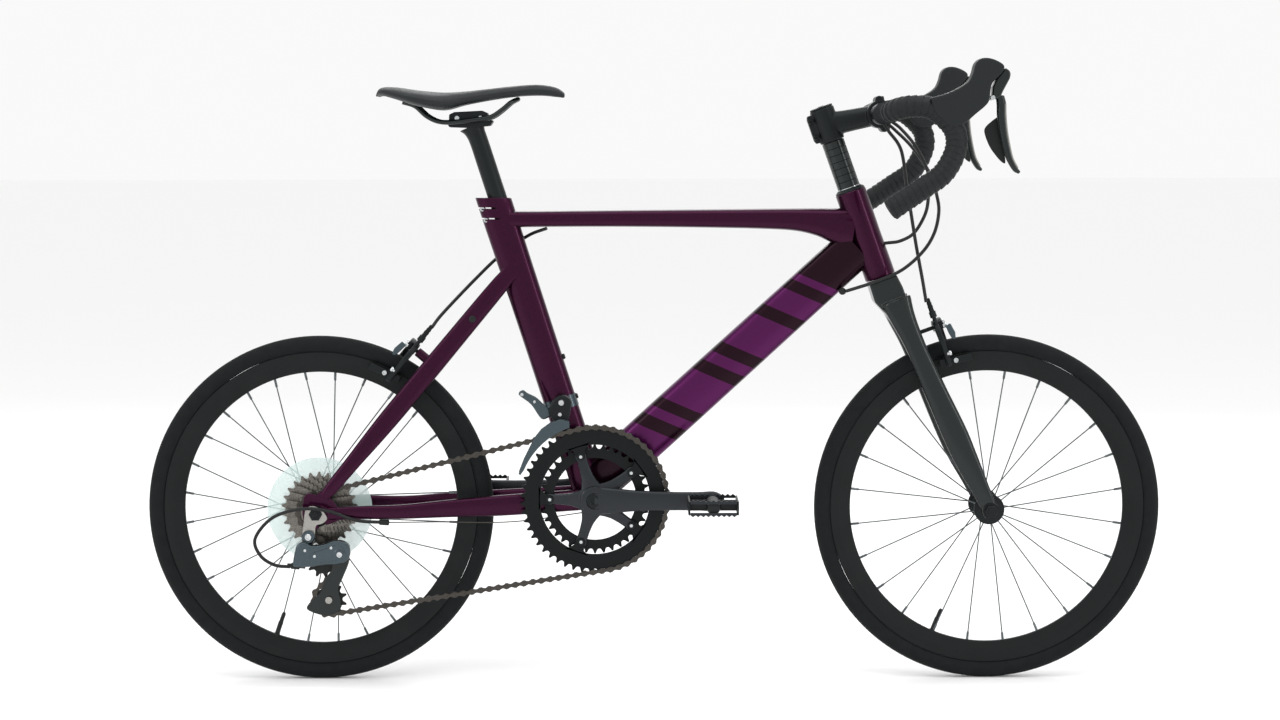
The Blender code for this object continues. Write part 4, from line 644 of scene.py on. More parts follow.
front_rubber = make_tyre_rubber("front_tyre_rubber", front_axle)
rear_rubber = make_tyre_rubber("rear_tyre_rubber", rear_axle)
tape_cork = make_grained("padded_cork_bar_tape", "0a0d0e", "161a1c", 1.4, 0.12, Roughness=0.62,
                         Specular_IOR_Level=0.3)
clear_disc, tree, shader = new_finish("clear_moulded_plastic", "cfe2df", Roughness=0.2, Alpha=0.5,
                                      Transmission_Weight=0.0)
frost = speckle(tree, 25.0, 3.0).outputs[0]
tree.links.new(stretched(tree, frost, 0.3, 0.7, 0.15, 0.3), shader.inputs["Roughness"])
print(len(bpy.data.materials), "finishes")


# %% [markdown]
# ## The frame's tubes
# The frame is welded from shaped aluminium tubes, and its welds are filled and sanded before paint,
# so the tubes run into each other with no bead. Each tube is lofted with a fine section and reaches
# a little way into its neighbour. The seat tube keeps its two clamp slots, which are cut right through.

# %% Head, top, down and seat tubes
HEAD_FOOT = 0.3585
tube_up = Vector((math.cos(DOWN_TUBE_ANGLE), 0, math.sin(DOWN_TUBE_ANGLE)))
tube_above = Vector((-math.sin(DOWN_TUBE_ANGLE), 0, math.cos(DOWN_TUBE_ANGLE)))

add_turned(
    "head_tube_painted",
    [(0, 0.0188), (0, 0.0216), (0.0012, 0.0225), (0.0160, 0.0225), (0.0660, 0.0221), (0.1180, 0.0225),
     (0.1318, 0.0225), (0.1330, 0.0216), (0.1330, 0.0188)],
    steer(HEAD_FOOT), steer_up, 72, burgundy, "frame", "head_tube", slot="burgundy_paint", closed=True)

middle = bottom + tube_above * 0.0120
down = [(*(middle + tube_up * a), h, w) for a, h, w in
        ((0.004, 0.0310, 0.0175), (0.060, 0.0322, 0.0195), (0.140, 0.0325, 0.0210), (0.300, 0.0320, 0.0210),
         (0.440, 0.0315, 0.0196), (0.528, 0.0312, 0.0184))]
down_tube = add_piece("down_tube_painted", *shaped_tube(down, 72, 3.0), burgundy_banded)
settle(down_tube, "frame", "down_tube", slot="burgundy_paint")

TOP = 0.6885
top = []
for x, rise, deep, wide in ((-0.2150, 0.0, 0.0240, 0.0155), (-0.1656, 0.0, 0.0232, 0.0158),
                            (-0.0800, 0.0008, 0.0238, 0.0163), (0.0000, 0.0015, 0.0250, 0.0170),
                            (0.0800, 0.0021, 0.0268, 0.0177), (0.1500, 0.0027, 0.0290, 0.0185),
                            (0.2050, 0.0032, 0.0325, 0.0194), (0.2400, 0.0036, 0.0405, 0.0202),
                            (0.2650, 0.0038, 0.0510, 0.0205), (0.2920, 0.0040, 0.0600, 0.0192)):
    top.append((x, 0, TOP + rise - deep / 2, deep / 2, wide))
top_tube = add_piece("top_tube_painted", *shaped_tube(top, 72, 3.4), burgundy)
settle(top_tube, "frame", "top_tube", slot="burgundy_paint")


# %% Seat tube with its clamp slots
def level_top(ring, height):
    return [p + seat_up * ((height - p.z) / seat_up.z) for p in ring]


SEAT_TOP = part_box("seat_tube")[1].z
outer = [oval(seat(h, -0.0060), seat_forward, SIDE, 0.0240 + bulge, 0.0165, 72, 2.3)
         for h, bulge in ((0.004, 0), (0.10, 0), (0.24, 0), (0.36, 0.0005), (0.42, 0.0010))]
outer.append(level_top(outer[-1], SEAT_TOP - 0.0008))
rim_middle = seat((SEAT_TOP - bottom.z) / seat_up.z, -0.0060)
outer.append([p.lerp(rim_middle, 0.03) for p in level_top(outer[-1], SEAT_TOP)])
bore = oval(seat(0.30), seat_forward, SIDE, 0.0139, 0.0139, 72)
seat_tube = add_piece("seat_tube_painted", *loft(outer + [level_top(bore, SEAT_TOP), bore], True), burgundy)
for level in (0.6920, 0.6766):
    rear = seat((level - bottom.z) / seat_up.z, -0.0300).x
    ahead = rear + 0.0220
    slot = [(rear - 0.01, level), (ahead, level), (rear + 0.0232, level + 0.0011), (ahead, level + 0.0022),
            (rear - 0.01, level + 0.0022)]
    cut_out(seat_tube, plate(slot, -0.03, 0.03, flat), burgundy)
seat_tube.data.set_sharp_from_angle(angle=math.radians(35))
settle(seat_tube, "frame", "seat_tube", slot="burgundy_paint")

# %% Bottom bracket shell and cups
shell = add_turned(
    "bottom_bracket_shell_painted",
    [(-0.0340, 0.0175), (-0.0340, 0.0198), (-0.0330, 0.0205), (0.0330, 0.0205), (0.0340, 0.0198),
     (0.0340, 0.0175)],
    bottom, SIDE, 64, burgundy, "frame", "bottom_bracket_shell", slot="burgundy_paint", closed=True)
add_turned(
    "bottom_bracket_cups",
    [(-0.0385, 0.0095), (-0.0385, 0.0180), (-0.0378, 0.0190), (-0.0344, 0.0190), (-0.0342, 0.0168),
     (0.0342, 0.0168), (0.0344, 0.0190), (0.0378, 0.0190), (0.0385, 0.0180), (0.0385, 0.0095)],
    bottom, SIDE, 48, satin_black, "frame", "bottom_bracket_unit", slot="black_alloy", closed=True)


# %% [markdown]
# ## Stays and dropouts
# The stays narrow towards the wheel and end on thick plates that hold the axle. They are lofted
# through the same places as the CAD solids, and the plates are outlines with a small edge radius.

# %% Chainstays and seatstays
def axle_plate(axle, hanger):
    """Outline of the plate round the rear axle, with a slot open below and ahead."""
    x, z = axle.x, axle.z
    front = [(x - 0.0170, z + 0.0235), (x - 0.0135, z + 0.0290), (x - 0.0085, z + 0.0300),
             (x + 0.0010, z + 0.0275), (x + 0.0080, z + 0.0340), (x + 0.0150, z + 0.0285),
             (x + 0.0226, z + 0.0215), (x + 0.0310, z + 0.0110), (x + 0.0335, z + 0.0020),
             (x + 0.0330, z - 0.0095), (x + 0.0210, z - 0.0145), (x + 0.0105, z - 0.0170)]
    if hanger:
        rear = [(x - 0.0030, z - 0.0245), (x - 0.0022, z - 0.0380), (x - 0.0060, z - 0.0435),
                (x - 0.0110, z - 0.0450), (x - 0.0165, z - 0.0425), (x - 0.0190, z - 0.0370),
                (x - 0.0195, z - 0.0245), (x - 0.0178, z - 0.0085), (x - 0.0195, z + 0.0080)]
    else:
        rear = [(x - 0.0060, z - 0.0175), (x - 0.0140, z - 0.0125), (x - 0.0178, z - 0.0020),
                (x - 0.0190, z + 0.0110)]
    return front + rear


PLATE_IN, PLATE_OUT = 0.0654, 0.0710
for word, side in (("right", -1), ("left", 1)):
    x = rear_axle.x
    stay = [
        (x + 0.0180, side * 0.0690, 0.2535, 0.0090, 0.0046),
        (x + 0.0300, side * 0.0672, 0.2536, 0.0096, 0.0056),
        (x + 0.0590, side * 0.0600, 0.2540, 0.0098, 0.0062),
        (x + 0.1215, side * 0.0500, 0.2537, 0.0105, 0.0070),
        (x + 0.1940, side * 0.0420, 0.2575, 0.0130, 0.0075),
        (bottom.x - 0.1368, side * 0.0340, 0.2605, 0.0152, 0.0080),
        (bottom.x - 0.0600, side * 0.0272, 0.2650, 0.0155, 0.0080),
        (bottom.x + 0.0020, side * 0.0240, bottom.z - 0.002, 0.0155, 0.0080)]
    chainstay = add_piece("chainstay_" + word + "_painted", *shaped_tube(stay, 48, 2.5), burgundy)
    settle(chainstay, "frame", "chainstay_" + word, slot="burgundy_paint")
    low, high = sorted((side * PLATE_IN, side * PLATE_OUT))
    dropout = add_piece(
        "dropout_" + word, *plate(axle_plate(rear_axle, side < 0), low, high, flat), burgundy)
    slot = []
    for i in range(9):
        t = math.radians(28 + 180 * i / 8)
        slot.append((x + 0.0052 * math.cos(t), rear_axle.z + 0.0052 * math.sin(t)))
    slot += [
        (x - 0.0046 + 0.05 * 0.47, rear_axle.z - 0.0024 - 0.05 * 0.88),
        (x + 0.0046 + 0.05 * 0.47, rear_axle.z + 0.0024 - 0.05 * 0.88)]
    cut_out(dropout, plate(slot, -0.1, 0.1, flat), burgundy)
    round_edges(dropout, 0.0008)
    settle(dropout, "frame")

stay_up = Vector((math.cos(math.radians(50.2)), 0, math.sin(math.radians(50.2))))
stay_back = Vector((-stay_up.z, 0, stay_up.x))
stay_foot = rear_axle + Vector((0.0130, 0, 0.0255))
stay_parts = []
for side in (-1, 1):
    stations = []
    for along, spread, high, wide in ((0.000, 0.0690, 0.0078, 0.0040), (0.018, 0.0684, 0.0098, 0.0052),
                                      (0.060, 0.0650, 0.0110, 0.0060), (0.136, 0.0500, 0.0140, 0.0065),
                                      (0.220, 0.0380, 0.0142, 0.0065), (0.300, 0.0300, 0.0138, 0.0065),
                                      (0.385, 0.0205, 0.0130, 0.0065), (0.425, 0.0153, 0.0105, 0.0013)):
        stations.append((*(stay_foot + stay_up * along + SIDE * side * spread), high, wide))
    stay_parts.append(shaped_tube(stations, 48, 2.5))
rear_foot = on_middle("rear_arm_right_close")
bridge = rear_foot - stay_back * 0.0320
stay_parts.append(lathe([(-0.036, 0.0085), (0.036, 0.0085)], bridge, SIDE, 32))
stay_parts.append(lathe(
    [(0, 0.0095), (0.004, 0.0072), (0.0305, 0.0070), (0.0312, 0.0062)], bridge, stay_back, 32))
seatstays = add_piece("seatstays_painted", *merged(stay_parts), burgundy)
settle(seatstays, "frame", "seatstays", slot="burgundy_paint")


# %% [markdown]
# ## Tyres and rims
# A tyre is a rubber ring with a round tread, thinner side walls and a bead tucked into the rim. The rim
# is a deep aluminium section, painted satin black, with a flat brake track on each side. Both are turned
# about the axle from an exact profile, so their outline stays true.

# %% Turn the tyres and rims
half, seat_radius = 0.0138, 0.2304
tyre_profile = [(-0.0094, seat_radius), (-0.0108, 0.2318), (-0.0126, 0.2350), (-0.0136, 0.2385),
                (-half, 0.2415), (-0.0134, 0.2445), (-0.0122, 0.2473), (-0.0102, 0.2499), (-0.0074, 0.2519),
                (-0.0040, 0.2531), (0.0, TYRE_RADIUS)]
tyre_profile += [(-y, r) for y, r in tyre_profile[-2::-1]]
rim_profile = [(-0.0096, 0.2300), (-0.0100, 0.2294), (-0.0100, 0.2186), (-0.0097, 0.2172), (-0.0062, 0.2062),
               (-0.0046, 0.2020), (-0.0028, 0.2006), (0.0, 0.2003)]
rim_profile += [(-y, r) for y, r in rim_profile[-2::-1]]
for word, axle, rubber in (("front", front_axle, front_rubber), ("rear", rear_axle, rear_rubber)):
    tyre = add_turned(
        word + "_tyre_rubber", tyre_profile, axle, SIDE, 144, rubber, word + "_wheel", word + "_tyre",
        slot="tyre_rubber", closed=True, smooth=50)
    rim = add_turned(
        word + "_rim_painted", rim_profile, axle, SIDE, 144, rim_black, word + "_wheel", word + "_rim",
        slot="black_alloy", closed=True, smooth=30)
print("tyre", len(tyre.data.polygons), "faces, rim", len(rim.data.polygons))


# %% [markdown]
# ## Spokes, hubs and valves
# A spoke is a 2 mm steel wire with an elbow in the hub flange and a nipple in the rim. The front wheel
# is laced straight out from the hub, and the rear one crosses its spokes so that it can drive. One
# group of spokes is made, and the turning tree repeats it round the hub.

# %% Spokes
def spoke(hub_radius, hub_angle, hub_y, rim_angle, rim_y):
    """One wire from a flange hole to a rim hole, and the nipple on its outer end."""
    near = Vector((hub_radius * math.cos(hub_angle), hub_y, hub_radius * math.sin(hub_angle)))
    far = Vector((0.2010 * math.cos(rim_angle), rim_y, 0.2010 * math.sin(rim_angle)))
    along = (far - near).normalized()
    inward = SIDE * math.copysign(0.0026, -hub_y)
    head = loft(carried_rings(
        [near + inward * 1.5, near + inward, near, near + along * 0.004], 0.0010, 6, (1, 0, 0.2)))
    wire = lathe([(0.002, 0.0009), ((far - near).length, 0.0009)], near, along, 6)
    nipple = lathe([(-0.0125, 0.0011), (-0.0115, 0.0018), (0.0, 0.0019)], far, along, 8)
    return [head, wire, nipple]


front_group = []
for i, flange in enumerate((-0.0345, 0.0345)):
    angle = 2 * math.pi * (i + 0.5) / 24
    front_group += spoke(0.0190, angle, flange, angle, math.copysign(0.0012, flange))
front_spokes = turned_copies("front_spokes_wire", merged(front_group), 12, front_axle, spoke_steel)
settle(front_spokes, "front_wheel", "front_spokes", slot="steel")

rear_group = []
for i, (flange, lean) in enumerate(((-0.0180, 1), (0.0345, 1), (-0.0180, -1), (0.0345, -1))):
    angle = 2 * math.pi * (i + 0.5) / 28
    rear_group += spoke(
        0.0195, angle + lean * math.radians(68), flange, angle, math.copysign(0.0012, flange))
rear_spokes = turned_copies("rear_spokes_wire", merged(rear_group), 7, rear_axle, spoke_steel)
settle(rear_spokes, "rear_wheel", "rear_spokes", slot="steel")


# %% Hubs, axles and nuts
def flange(y):
    return [(y - 0.0030, 0.0122), (y - 0.0016, 0.0160), (y - 0.0014, 0.0216), (y - 0.0008, 0.0222),
            (y + 0.0008, 0.0222), (y + 0.0014, 0.0216), (y + 0.0016, 0.0160), (y + 0.0030, 0.0122)]


add_turned(
    "front_hub_body",
    [
        (-0.0495, 0.0056), (-0.0495, 0.0100), (-0.0470, 0.0110), (-0.0400, 0.0116), *flange(-0.0345),
        (-0.0200, 0.0108), (0.0200, 0.0108), *flange(0.0345), (0.0400, 0.0116), (0.0470, 0.0110),
        (0.0495, 0.0100), (0.0495, 0.0056)],
    front_axle, SIDE, 48, satin_black, "front_wheel", "front_hub", slot="black_alloy", closed=True,
    smooth=30)
add_turned(
    "rear_hub_body",
    [
        (-0.0645, 0.0056), (-0.0645, 0.0100), (-0.0612, 0.0110), (-0.0612, 0.0162), (-0.0215, 0.0162),
        *flange(-0.0180), (-0.0060, 0.0120), (0.0230, 0.0114), *flange(0.0345), (0.0560, 0.0112),
        (0.0645, 0.0100), (0.0645, 0.0056)],
    rear_axle, SIDE, 48, satin_black, "rear_wheel", "rear_hub", slot="black_alloy", closed=True, smooth=30)


def hex_nut(y, side, axle, radius=0.0098, length=0.0075):
    """A domed nut outside the dropout, with its washer and the axle's end."""
    place = axle + SIDE * y * side
    washer = lathe([(0, 0.0090), (0, 0.0122), (0.0014, 0.0122), (0.0016, 0.0090)], place, SIDE * side, 32)
    nut = lathe(
        [(0.0014, radius * 0.9), (0.0022, radius), (length - 0.0010, radius), (length, radius * 0.86),
         (length, 0.0052)],
        place, SIDE * side, 6)
    tip = lathe([(0, 0.0048), (length + 0.0012, 0.0048), (length + 0.0018, 0.0040)], place, SIDE * side, 24)
    return [washer, nut, tip]


for word, axle, face, body in (("front", front_axle, 0.0565, "steering"),
                               ("rear", rear_axle, 0.0712, "frame")):
    shaft = lathe([(-face, 0.0048), (face, 0.0048)], axle, SIDE, 24)
    nuts = add_piece(
        word + "_axle_nuts", *merged([shaft, *hex_nut(face, -1, axle), *hex_nut(face, 1, axle)]),
        satin_black)
    settle(nuts, body, word + "_axle", slot="black_alloy")

add_turned(
    "spoke_protector_disc",
    [(-0.0224, 0.0258), (-0.0224, 0.0755), (-0.0221, 0.0768), (-0.0217, 0.0768), (-0.0214, 0.0755),
     (-0.0214, 0.0258)],
    rear_axle, SIDE, 96, clear_disc, "rear_wheel", "spoke_protector", slot="clear_plastic", closed=True)
for word, axle, turn in (("front", front_axle, 247), ("rear", rear_axle, 250)):
    out = Vector((math.cos(math.radians(turn)), 0, math.sin(math.radians(turn))))
    add_turned(
        word + "_valve",
        [(0, 0.0018), (0.003, 0.0030), (0.014, 0.0030), (0.015, 0.0036), (0.033, 0.0033), (0.0345, 0.0050),
         (0.037, 0.0050), (0.040, 0.0030)],
        axle + out * 0.1660, out, 20, black_plastic, word + "_wheel")


# %% [markdown]
# ## Fork and headset
# The fork is an alloy casting: crown, blades and tips are one smooth painted piece. Its parts are
# lofted roughly into each other, turned into one skin on a fine grid, and smoothed, which gives the
# filled corners of a real casting. The spacers above the head tube are plain anodised rings.

# %% Fork, spacers and headset
foot = HEAD_FOOT
crown = [(foot - 0.0016, -0.0205), (foot - 0.0016, 0.0215), (foot - 0.0235, 0.0245), (foot - 0.0585, 0.0240),
         (foot - 0.1085, 0.0230), (foot - 0.1085, 0.0065), (foot - 0.0685, -0.0055),
         (foot - 0.0305, -0.0215)]
fork_parts = [plate(crown, -0.0265, 0.0265, steer)]
RAKE = 0.0350
for side in (-1, 1):
    blade = []
    for share, ahead, spread, high, wide in ((0.8950, 0.235, 0.0240, 0.0230, 0.0110),
                                             (0.8140, 0.259, 0.0300, 0.0185, 0.0100),
                                             (0.6878, 0.360, 0.0365, 0.0150, 0.0085),
                                             (0.5208, 0.479, 0.0430, 0.0165, 0.0080),
                                             (0.3162, 0.657, 0.0490, 0.0188, 0.0074),
                                             (0.1960, 0.750, 0.0515, 0.0176, 0.0064),
                                             (0.0620, 0.898, 0.0530, 0.0138, 0.0046),
                                             (-0.0060, 0.960, 0.0532, 0.0122, 0.0034)):
        blade.append((*steer(foot * share, RAKE * ahead, side * spread), high, wide))
    fork_parts.append(shaped_tube(blade, 32, 2.2))
    fork_parts.append(lathe(
        [(-0.0028, 0.0128), (0.0028, 0.0128)], front_axle + SIDE * side * 0.0531, SIDE, 32))
fork = add_piece("fork_painted", *merged(fork_parts), fork_gloss)
softened(fork, 0.0016, 12)
settle(fork, "steering", "fork", slot="black_alloy")
front_foot = on_middle("front_arm_right_close")
add_turned(
    "steerer_tube", [(foot + 0.0035, 0.0143), (0.6150, 0.0143)], steer(0), steer_up, 32, satin_black,
    "steering")

HEAD_END = 0.4915
add_turned(
    "headset_upper_cover",
    [(-0.007, 0.0147), (-0.007, 0.0186), (0.0004, 0.0186), (0.0004, 0.0218), (0.0016, 0.0216),
     (0.0050, 0.0176), (0.0052, 0.0147)],
    steer(HEAD_END), steer_up, 64, satin_black, "frame", "headset_upper_bearing", slot="black_alloy",
    closed=True)
add_turned(
    "headset_lower_race", [(0.0015, 0.0147), (0.0015, 0.0186), (0.0085, 0.0186), (0.0085, 0.0147)],
    steer(foot), steer_up, 64, steel_plated, "frame", "headset_lower_bearing", slot="steel", closed=True)
add_turned(
    "headset_base_ring", [(0.49685, 0.0146), (0.49685, 0.0172), (0.49765, 0.0172), (0.49765, 0.0146)],
    steer(0), steer_up, 48, bright_steel, "steering", closed=True)
stack = []
for i in range(7):
    low = 0.4971 + i * 0.01014
    stack.append(lathe(
        [(low, 0.0146), (low, 0.0161), (low + 0.0004, 0.0165), (low + 0.0096, 0.0165),
         (low + 0.0100, 0.0161), (low + 0.0100, 0.0146)],
        steer(0), steer_up, 48, True))
spacers = add_piece("headset_spacer_stack", *merged(stack), fork_gloss)
settle(spacers, "steering", "headset_spacers", slot="black_alloy")

# %% Stem with its bolts
pull = joints["brake_pull_right"]["pos_m"]
bar_centre = Vector((pull[0] - 0.1362, 0, pull[2] - 0.0198))
STEM_LOW, STEM_HIGH = 0.5685, 0.6185
stem_middle = steer((STEM_LOW + STEM_HIGH) / 2)
run = bar_centre - stem_middle
stem_body = [(*(stem_middle + run * share), high, wide)
             for share, high, wide in ((0.05, 0.0190, 0.0150), (0.30, 0.0165, 0.0148),
                                       (0.75, 0.0152, 0.0148), (0.97, 0.0148, 0.0170))]
stem_parts = [
    lathe(
        [(STEM_LOW, 0.0170), (STEM_LOW + 0.0012, 0.0180), (STEM_HIGH - 0.0012, 0.0180), (STEM_HIGH, 0.0170)],
        steer(0), steer_up, 48),
    shaped_tube(stem_body, 40, 2.5),
    lathe([(-0.0212, 0.0190), (-0.0205, 0.0203), (0.0205, 0.0203), (0.0212, 0.0190)], bar_centre, SIDE, 48)]
forward = run.normalized()
above = SIDE.cross(forward) * -1
for level in (-1, 1):
    stem_parts.append(lathe(
        [(-0.0205, 0.0062), (0.0205, 0.0062)], bar_centre + above * level * 0.0205 + forward * 0.002, SIDE,
        20))
back_ear = [(STEM_LOW + 0.004, -0.0165), (STEM_LOW + 0.004, -0.0235), (STEM_LOW + 0.009, -0.0255),
            (STEM_HIGH - 0.009, -0.0255), (STEM_HIGH - 0.004, -0.0235), (STEM_HIGH - 0.004, -0.0165)]
stem_parts.append(plate(back_ear, -0.0085, 0.0085, steer))
stem = add_piece("stem_forged", *merged(stem_parts), satin_black)
softened(stem, 0.0009, 4)
settle(stem, "steering", "stem", slot="black_alloy")


def socket_bolt(place, axis, radius, height=0.0035):
    """A round bolt head with a recess for its key."""
    return lathe(
        [(-0.003, radius * 0.6), (0, radius * 0.6), (0, radius), (height * 0.7, radius),
         (height, radius * 0.84), (height, radius * 0.50), (height * 0.3, radius * 0.46)],
        place, axis, 20)


def add_bolts(name, body, finish, bolts):
    """One piece from (place, axis, radius) rows of bolts."""
    made = add_piece(name, *merged([socket_bolt(*bolt) for bolt in bolts]), finish)
    return settle(made, body)


stem_bolts = [(steer(level, -0.0215, -0.0083), -SIDE, 0.0042)
              for level in (STEM_LOW + 0.013, STEM_HIGH - 0.013)]
stem_bolts += [(bar_centre + above * up * 0.0212 + forward * 0.006 + SIDE * y, forward, 0.0040)
               for up in (-1, 1) for y in (-0.0135, 0.0135)]
stem_bolts.append((steer(STEM_HIGH + 0.0002), steer_up, 0.0050))
add_bolts("stem_bolts", "steering", satin_black, stem_bolts)
add_turned(
    "stem_cap", [(0.0002, 0.0160), (0.0010, 0.0172), (0.0030, 0.0168), (0.0036, 0.0150)],
    steer(STEM_HIGH - 0.0006), steer_up, 48, satin_black, "steering")


# %% [markdown]
# ## Handlebar and its tape
# The bar is a drop bar bent from one tube. Padded tape is wound round it in a spiral, each turn
# lapping the last by a third, which leaves a raised edge every 9 mm. The tape is a tube along the
# bar whose surface rises steadily over each turn and drops at its edge, worked out by a node tree.

# %% Bar
def bar_route(side):
    width = abs(pull[1])
    shape = ((0.0000, 0.300, 0.0000), (0.0000, 0.700, 0.0010), (0.0030, 0.850, 0.0025),
             (0.0145, 0.945, 0.0065), (0.0300, 0.985, 0.0085), (0.0520, 1.000, 0.0062),
             (0.0705, 1.005, -0.0065), (0.0855, 1.010, -0.0252), (0.0868, 1.018, -0.0510),
             (0.0700, 1.030, -0.0830), (0.0392, 1.042, -0.1056), (-0.0030, 1.050, -0.1340))
    return [bar_centre + Vector((x, side * width * share, z)) for x, share, z in shape]


bar_parts = []
for side in (-1, 1):
    bar_parts.append(loft(carried_rings(even_route(bar_route(side), 0.006), 0.0119, 24)))
bar_parts.append(lathe(
    [(-0.064, 0.0119), (-0.042, 0.0121), (-0.033, 0.0158), (0.033, 0.0158), (0.042, 0.0121),
     (0.064, 0.0119)],
    bar_centre, SIDE, 32))
handlebar = add_piece("handlebar_tube", *merged(bar_parts), satin_black)
settle(handlebar, "steering", "handlebar", slot="black_alloy")


# %% Tape wound on by a node tree
def make_tape_tree():
    tree, given = new_tree(
        "wound_tape",
        (("Line", "Geometry"), ("Radius", "Float"), ("Turn", "Float"), ("Lap", "Float"),
         ("Finish", "Material")),
        "Tape")
    curve = add_node(tree, "GeometryNodeMeshToCurve", {"Mesh": given["Line"]}).outputs[0]
    ring = add_node(
        tree, "GeometryNodeCurvePrimitiveCircle", {"Resolution": 36, "Radius": given["Radius"]}).outputs[0]
    marked = []
    for source, name, output in ((curve, "along", "Length"), (ring, "around", "Factor")):
        where = add_node(tree, "GeometryNodeSplineParameter").outputs[output]
        marked.append(add_node(tree, "GeometryNodeStoreNamedAttribute",
                               {"Geometry": source, "Name": name, "Value": where}).outputs[0])
    tube = add_node(tree, "GeometryNodeCurveToMesh",
                    {"Curve": marked[0], "Profile Curve": marked[1], "Fill Caps": True}).outputs[0]
    along, around = [add_node(tree, "GeometryNodeInputNamedAttribute", {"Name": name}).outputs[0]
                     for name in ("along", "around")]
    turns = maths(tree, "DIVIDE", along, given["Turn"])
    phase = maths(tree, "ADD", turns, around)
    share = maths(tree, "FRACT", phase)
    rounded = maths(tree, "POWER", share, 0.45)
    rise = maths(tree, "MULTIPLY", rounded, given["Lap"])
    normal = add_node(tree, "GeometryNodeInputNormal").outputs[0]
    offset = add_node(tree, "ShaderNodeVectorMath", {0: normal, "Scale": rise}, operation="SCALE").outputs[0]
    moved = add_node(tree, "GeometryNodeSetPosition", {"Geometry": tube, "Offset": offset}).outputs[0]
    smooth = add_node(tree, "GeometryNodeSetShadeSmooth", {0: moved}).outputs[0]
    return end_tree(tree, smooth, given["Finish"])


tape_tree = make_tape_tree()
for word, side in (("right", -1), ("left", 1)):
    line = even_route(bar_route(side), 0.0011)
    mesh = bpy.data.meshes.new("tape_line")
    mesh.from_pydata([tuple(p) for p in line], [(i, i + 1) for i in range(len(line) - 1)], [])
    tape = into_scene("bar_tape_" + word + "_wound", mesh)
    run_tree(tape, tape_tree, Radius=0.0139, Turn=0.0090, Lap=0.0019, Finish=tape_cork)
    face_outwards(tape.data)
    settle(tape, "steering", "bar_tape_" + word, slot="bar_tape")
    end = line[-1]
    away = (line[-1] - line[-4]).normalized()
    add_turned(
        "bar_end_plug_" + word, [(-0.004, 0.0135), (0.0, 0.0135), (0.0016, 0.0125), (0.0022, 0.0100)], end,
        away, 32, black_plastic, "steering")
print("tape has", len(tape.data.polygons), "faces")


# %% [markdown]
# ## Brake hoods and levers
# The hood is a soft rubber boot over the lever's bracket, with no hard edge but a fine ridge.
# It is an outline made thick, then remeshed and smoothed. The lever's blade is pressed alloy with a
# rounded front, so it is lofted along its own line, and the paddle behind it is a moulded plate.

# %% Hoods
HALF_TRACK = abs(pull[1])


def from_bar(shape):
    return [(bar_centre.x + u, bar_centre.z + v) for u, v in shape]


hood_shape = from_bar(smooth_outline(
    [(0.0500, 0.0195), (0.0775, 0.0275), (0.1005, 0.0405), (0.1080, 0.0530), (0.1120, 0.0670),
     (0.1210, 0.0740), (0.1350, 0.0730), (0.1500, 0.0650), (0.1500, 0.0560), (0.1350, 0.0395),
     (0.1322, 0.0240), (0.1290, 0.0120), (0.1120, -0.0030), (0.0980, -0.0150), (0.0860, -0.0190),
     (0.0740, -0.0165), (0.0560, 0.0020)],
    5))
for word, side in (("right", -1), ("left", 1)):
    middle = side * HALF_TRACK
    hood = add_piece(
        "brake_hood_" + word + "_rubber", *plate(hood_shape, middle - 0.0172, middle + 0.0172, flat),
        hood_rubber)
    softened(hood, 0.0012, 26)
    settle(hood, "steering", "brake_hood_" + word, slot="hood_rubber")


# %% Lever heads, blades and paddles
def blade_line(word_middle):
    rows = ((0.1475, 0.0215, 0.0060, 0.0075), (0.1495, 0.0110, 0.0066, 0.0070),
            (0.1500, -0.0050, 0.0066, 0.0064), (0.1522, -0.0250, 0.0062, 0.0062),
            (0.1562, -0.0450, 0.0055, 0.0060), (0.1616, -0.0640, 0.0046, 0.0060),
            (0.1690, -0.0775, 0.0040, 0.0056), (0.1740, -0.0822, 0.0026, 0.0044))
    return [(bar_centre.x + u, word_middle, bar_centre.z + v, high, wide) for u, v, high, wide in rows]


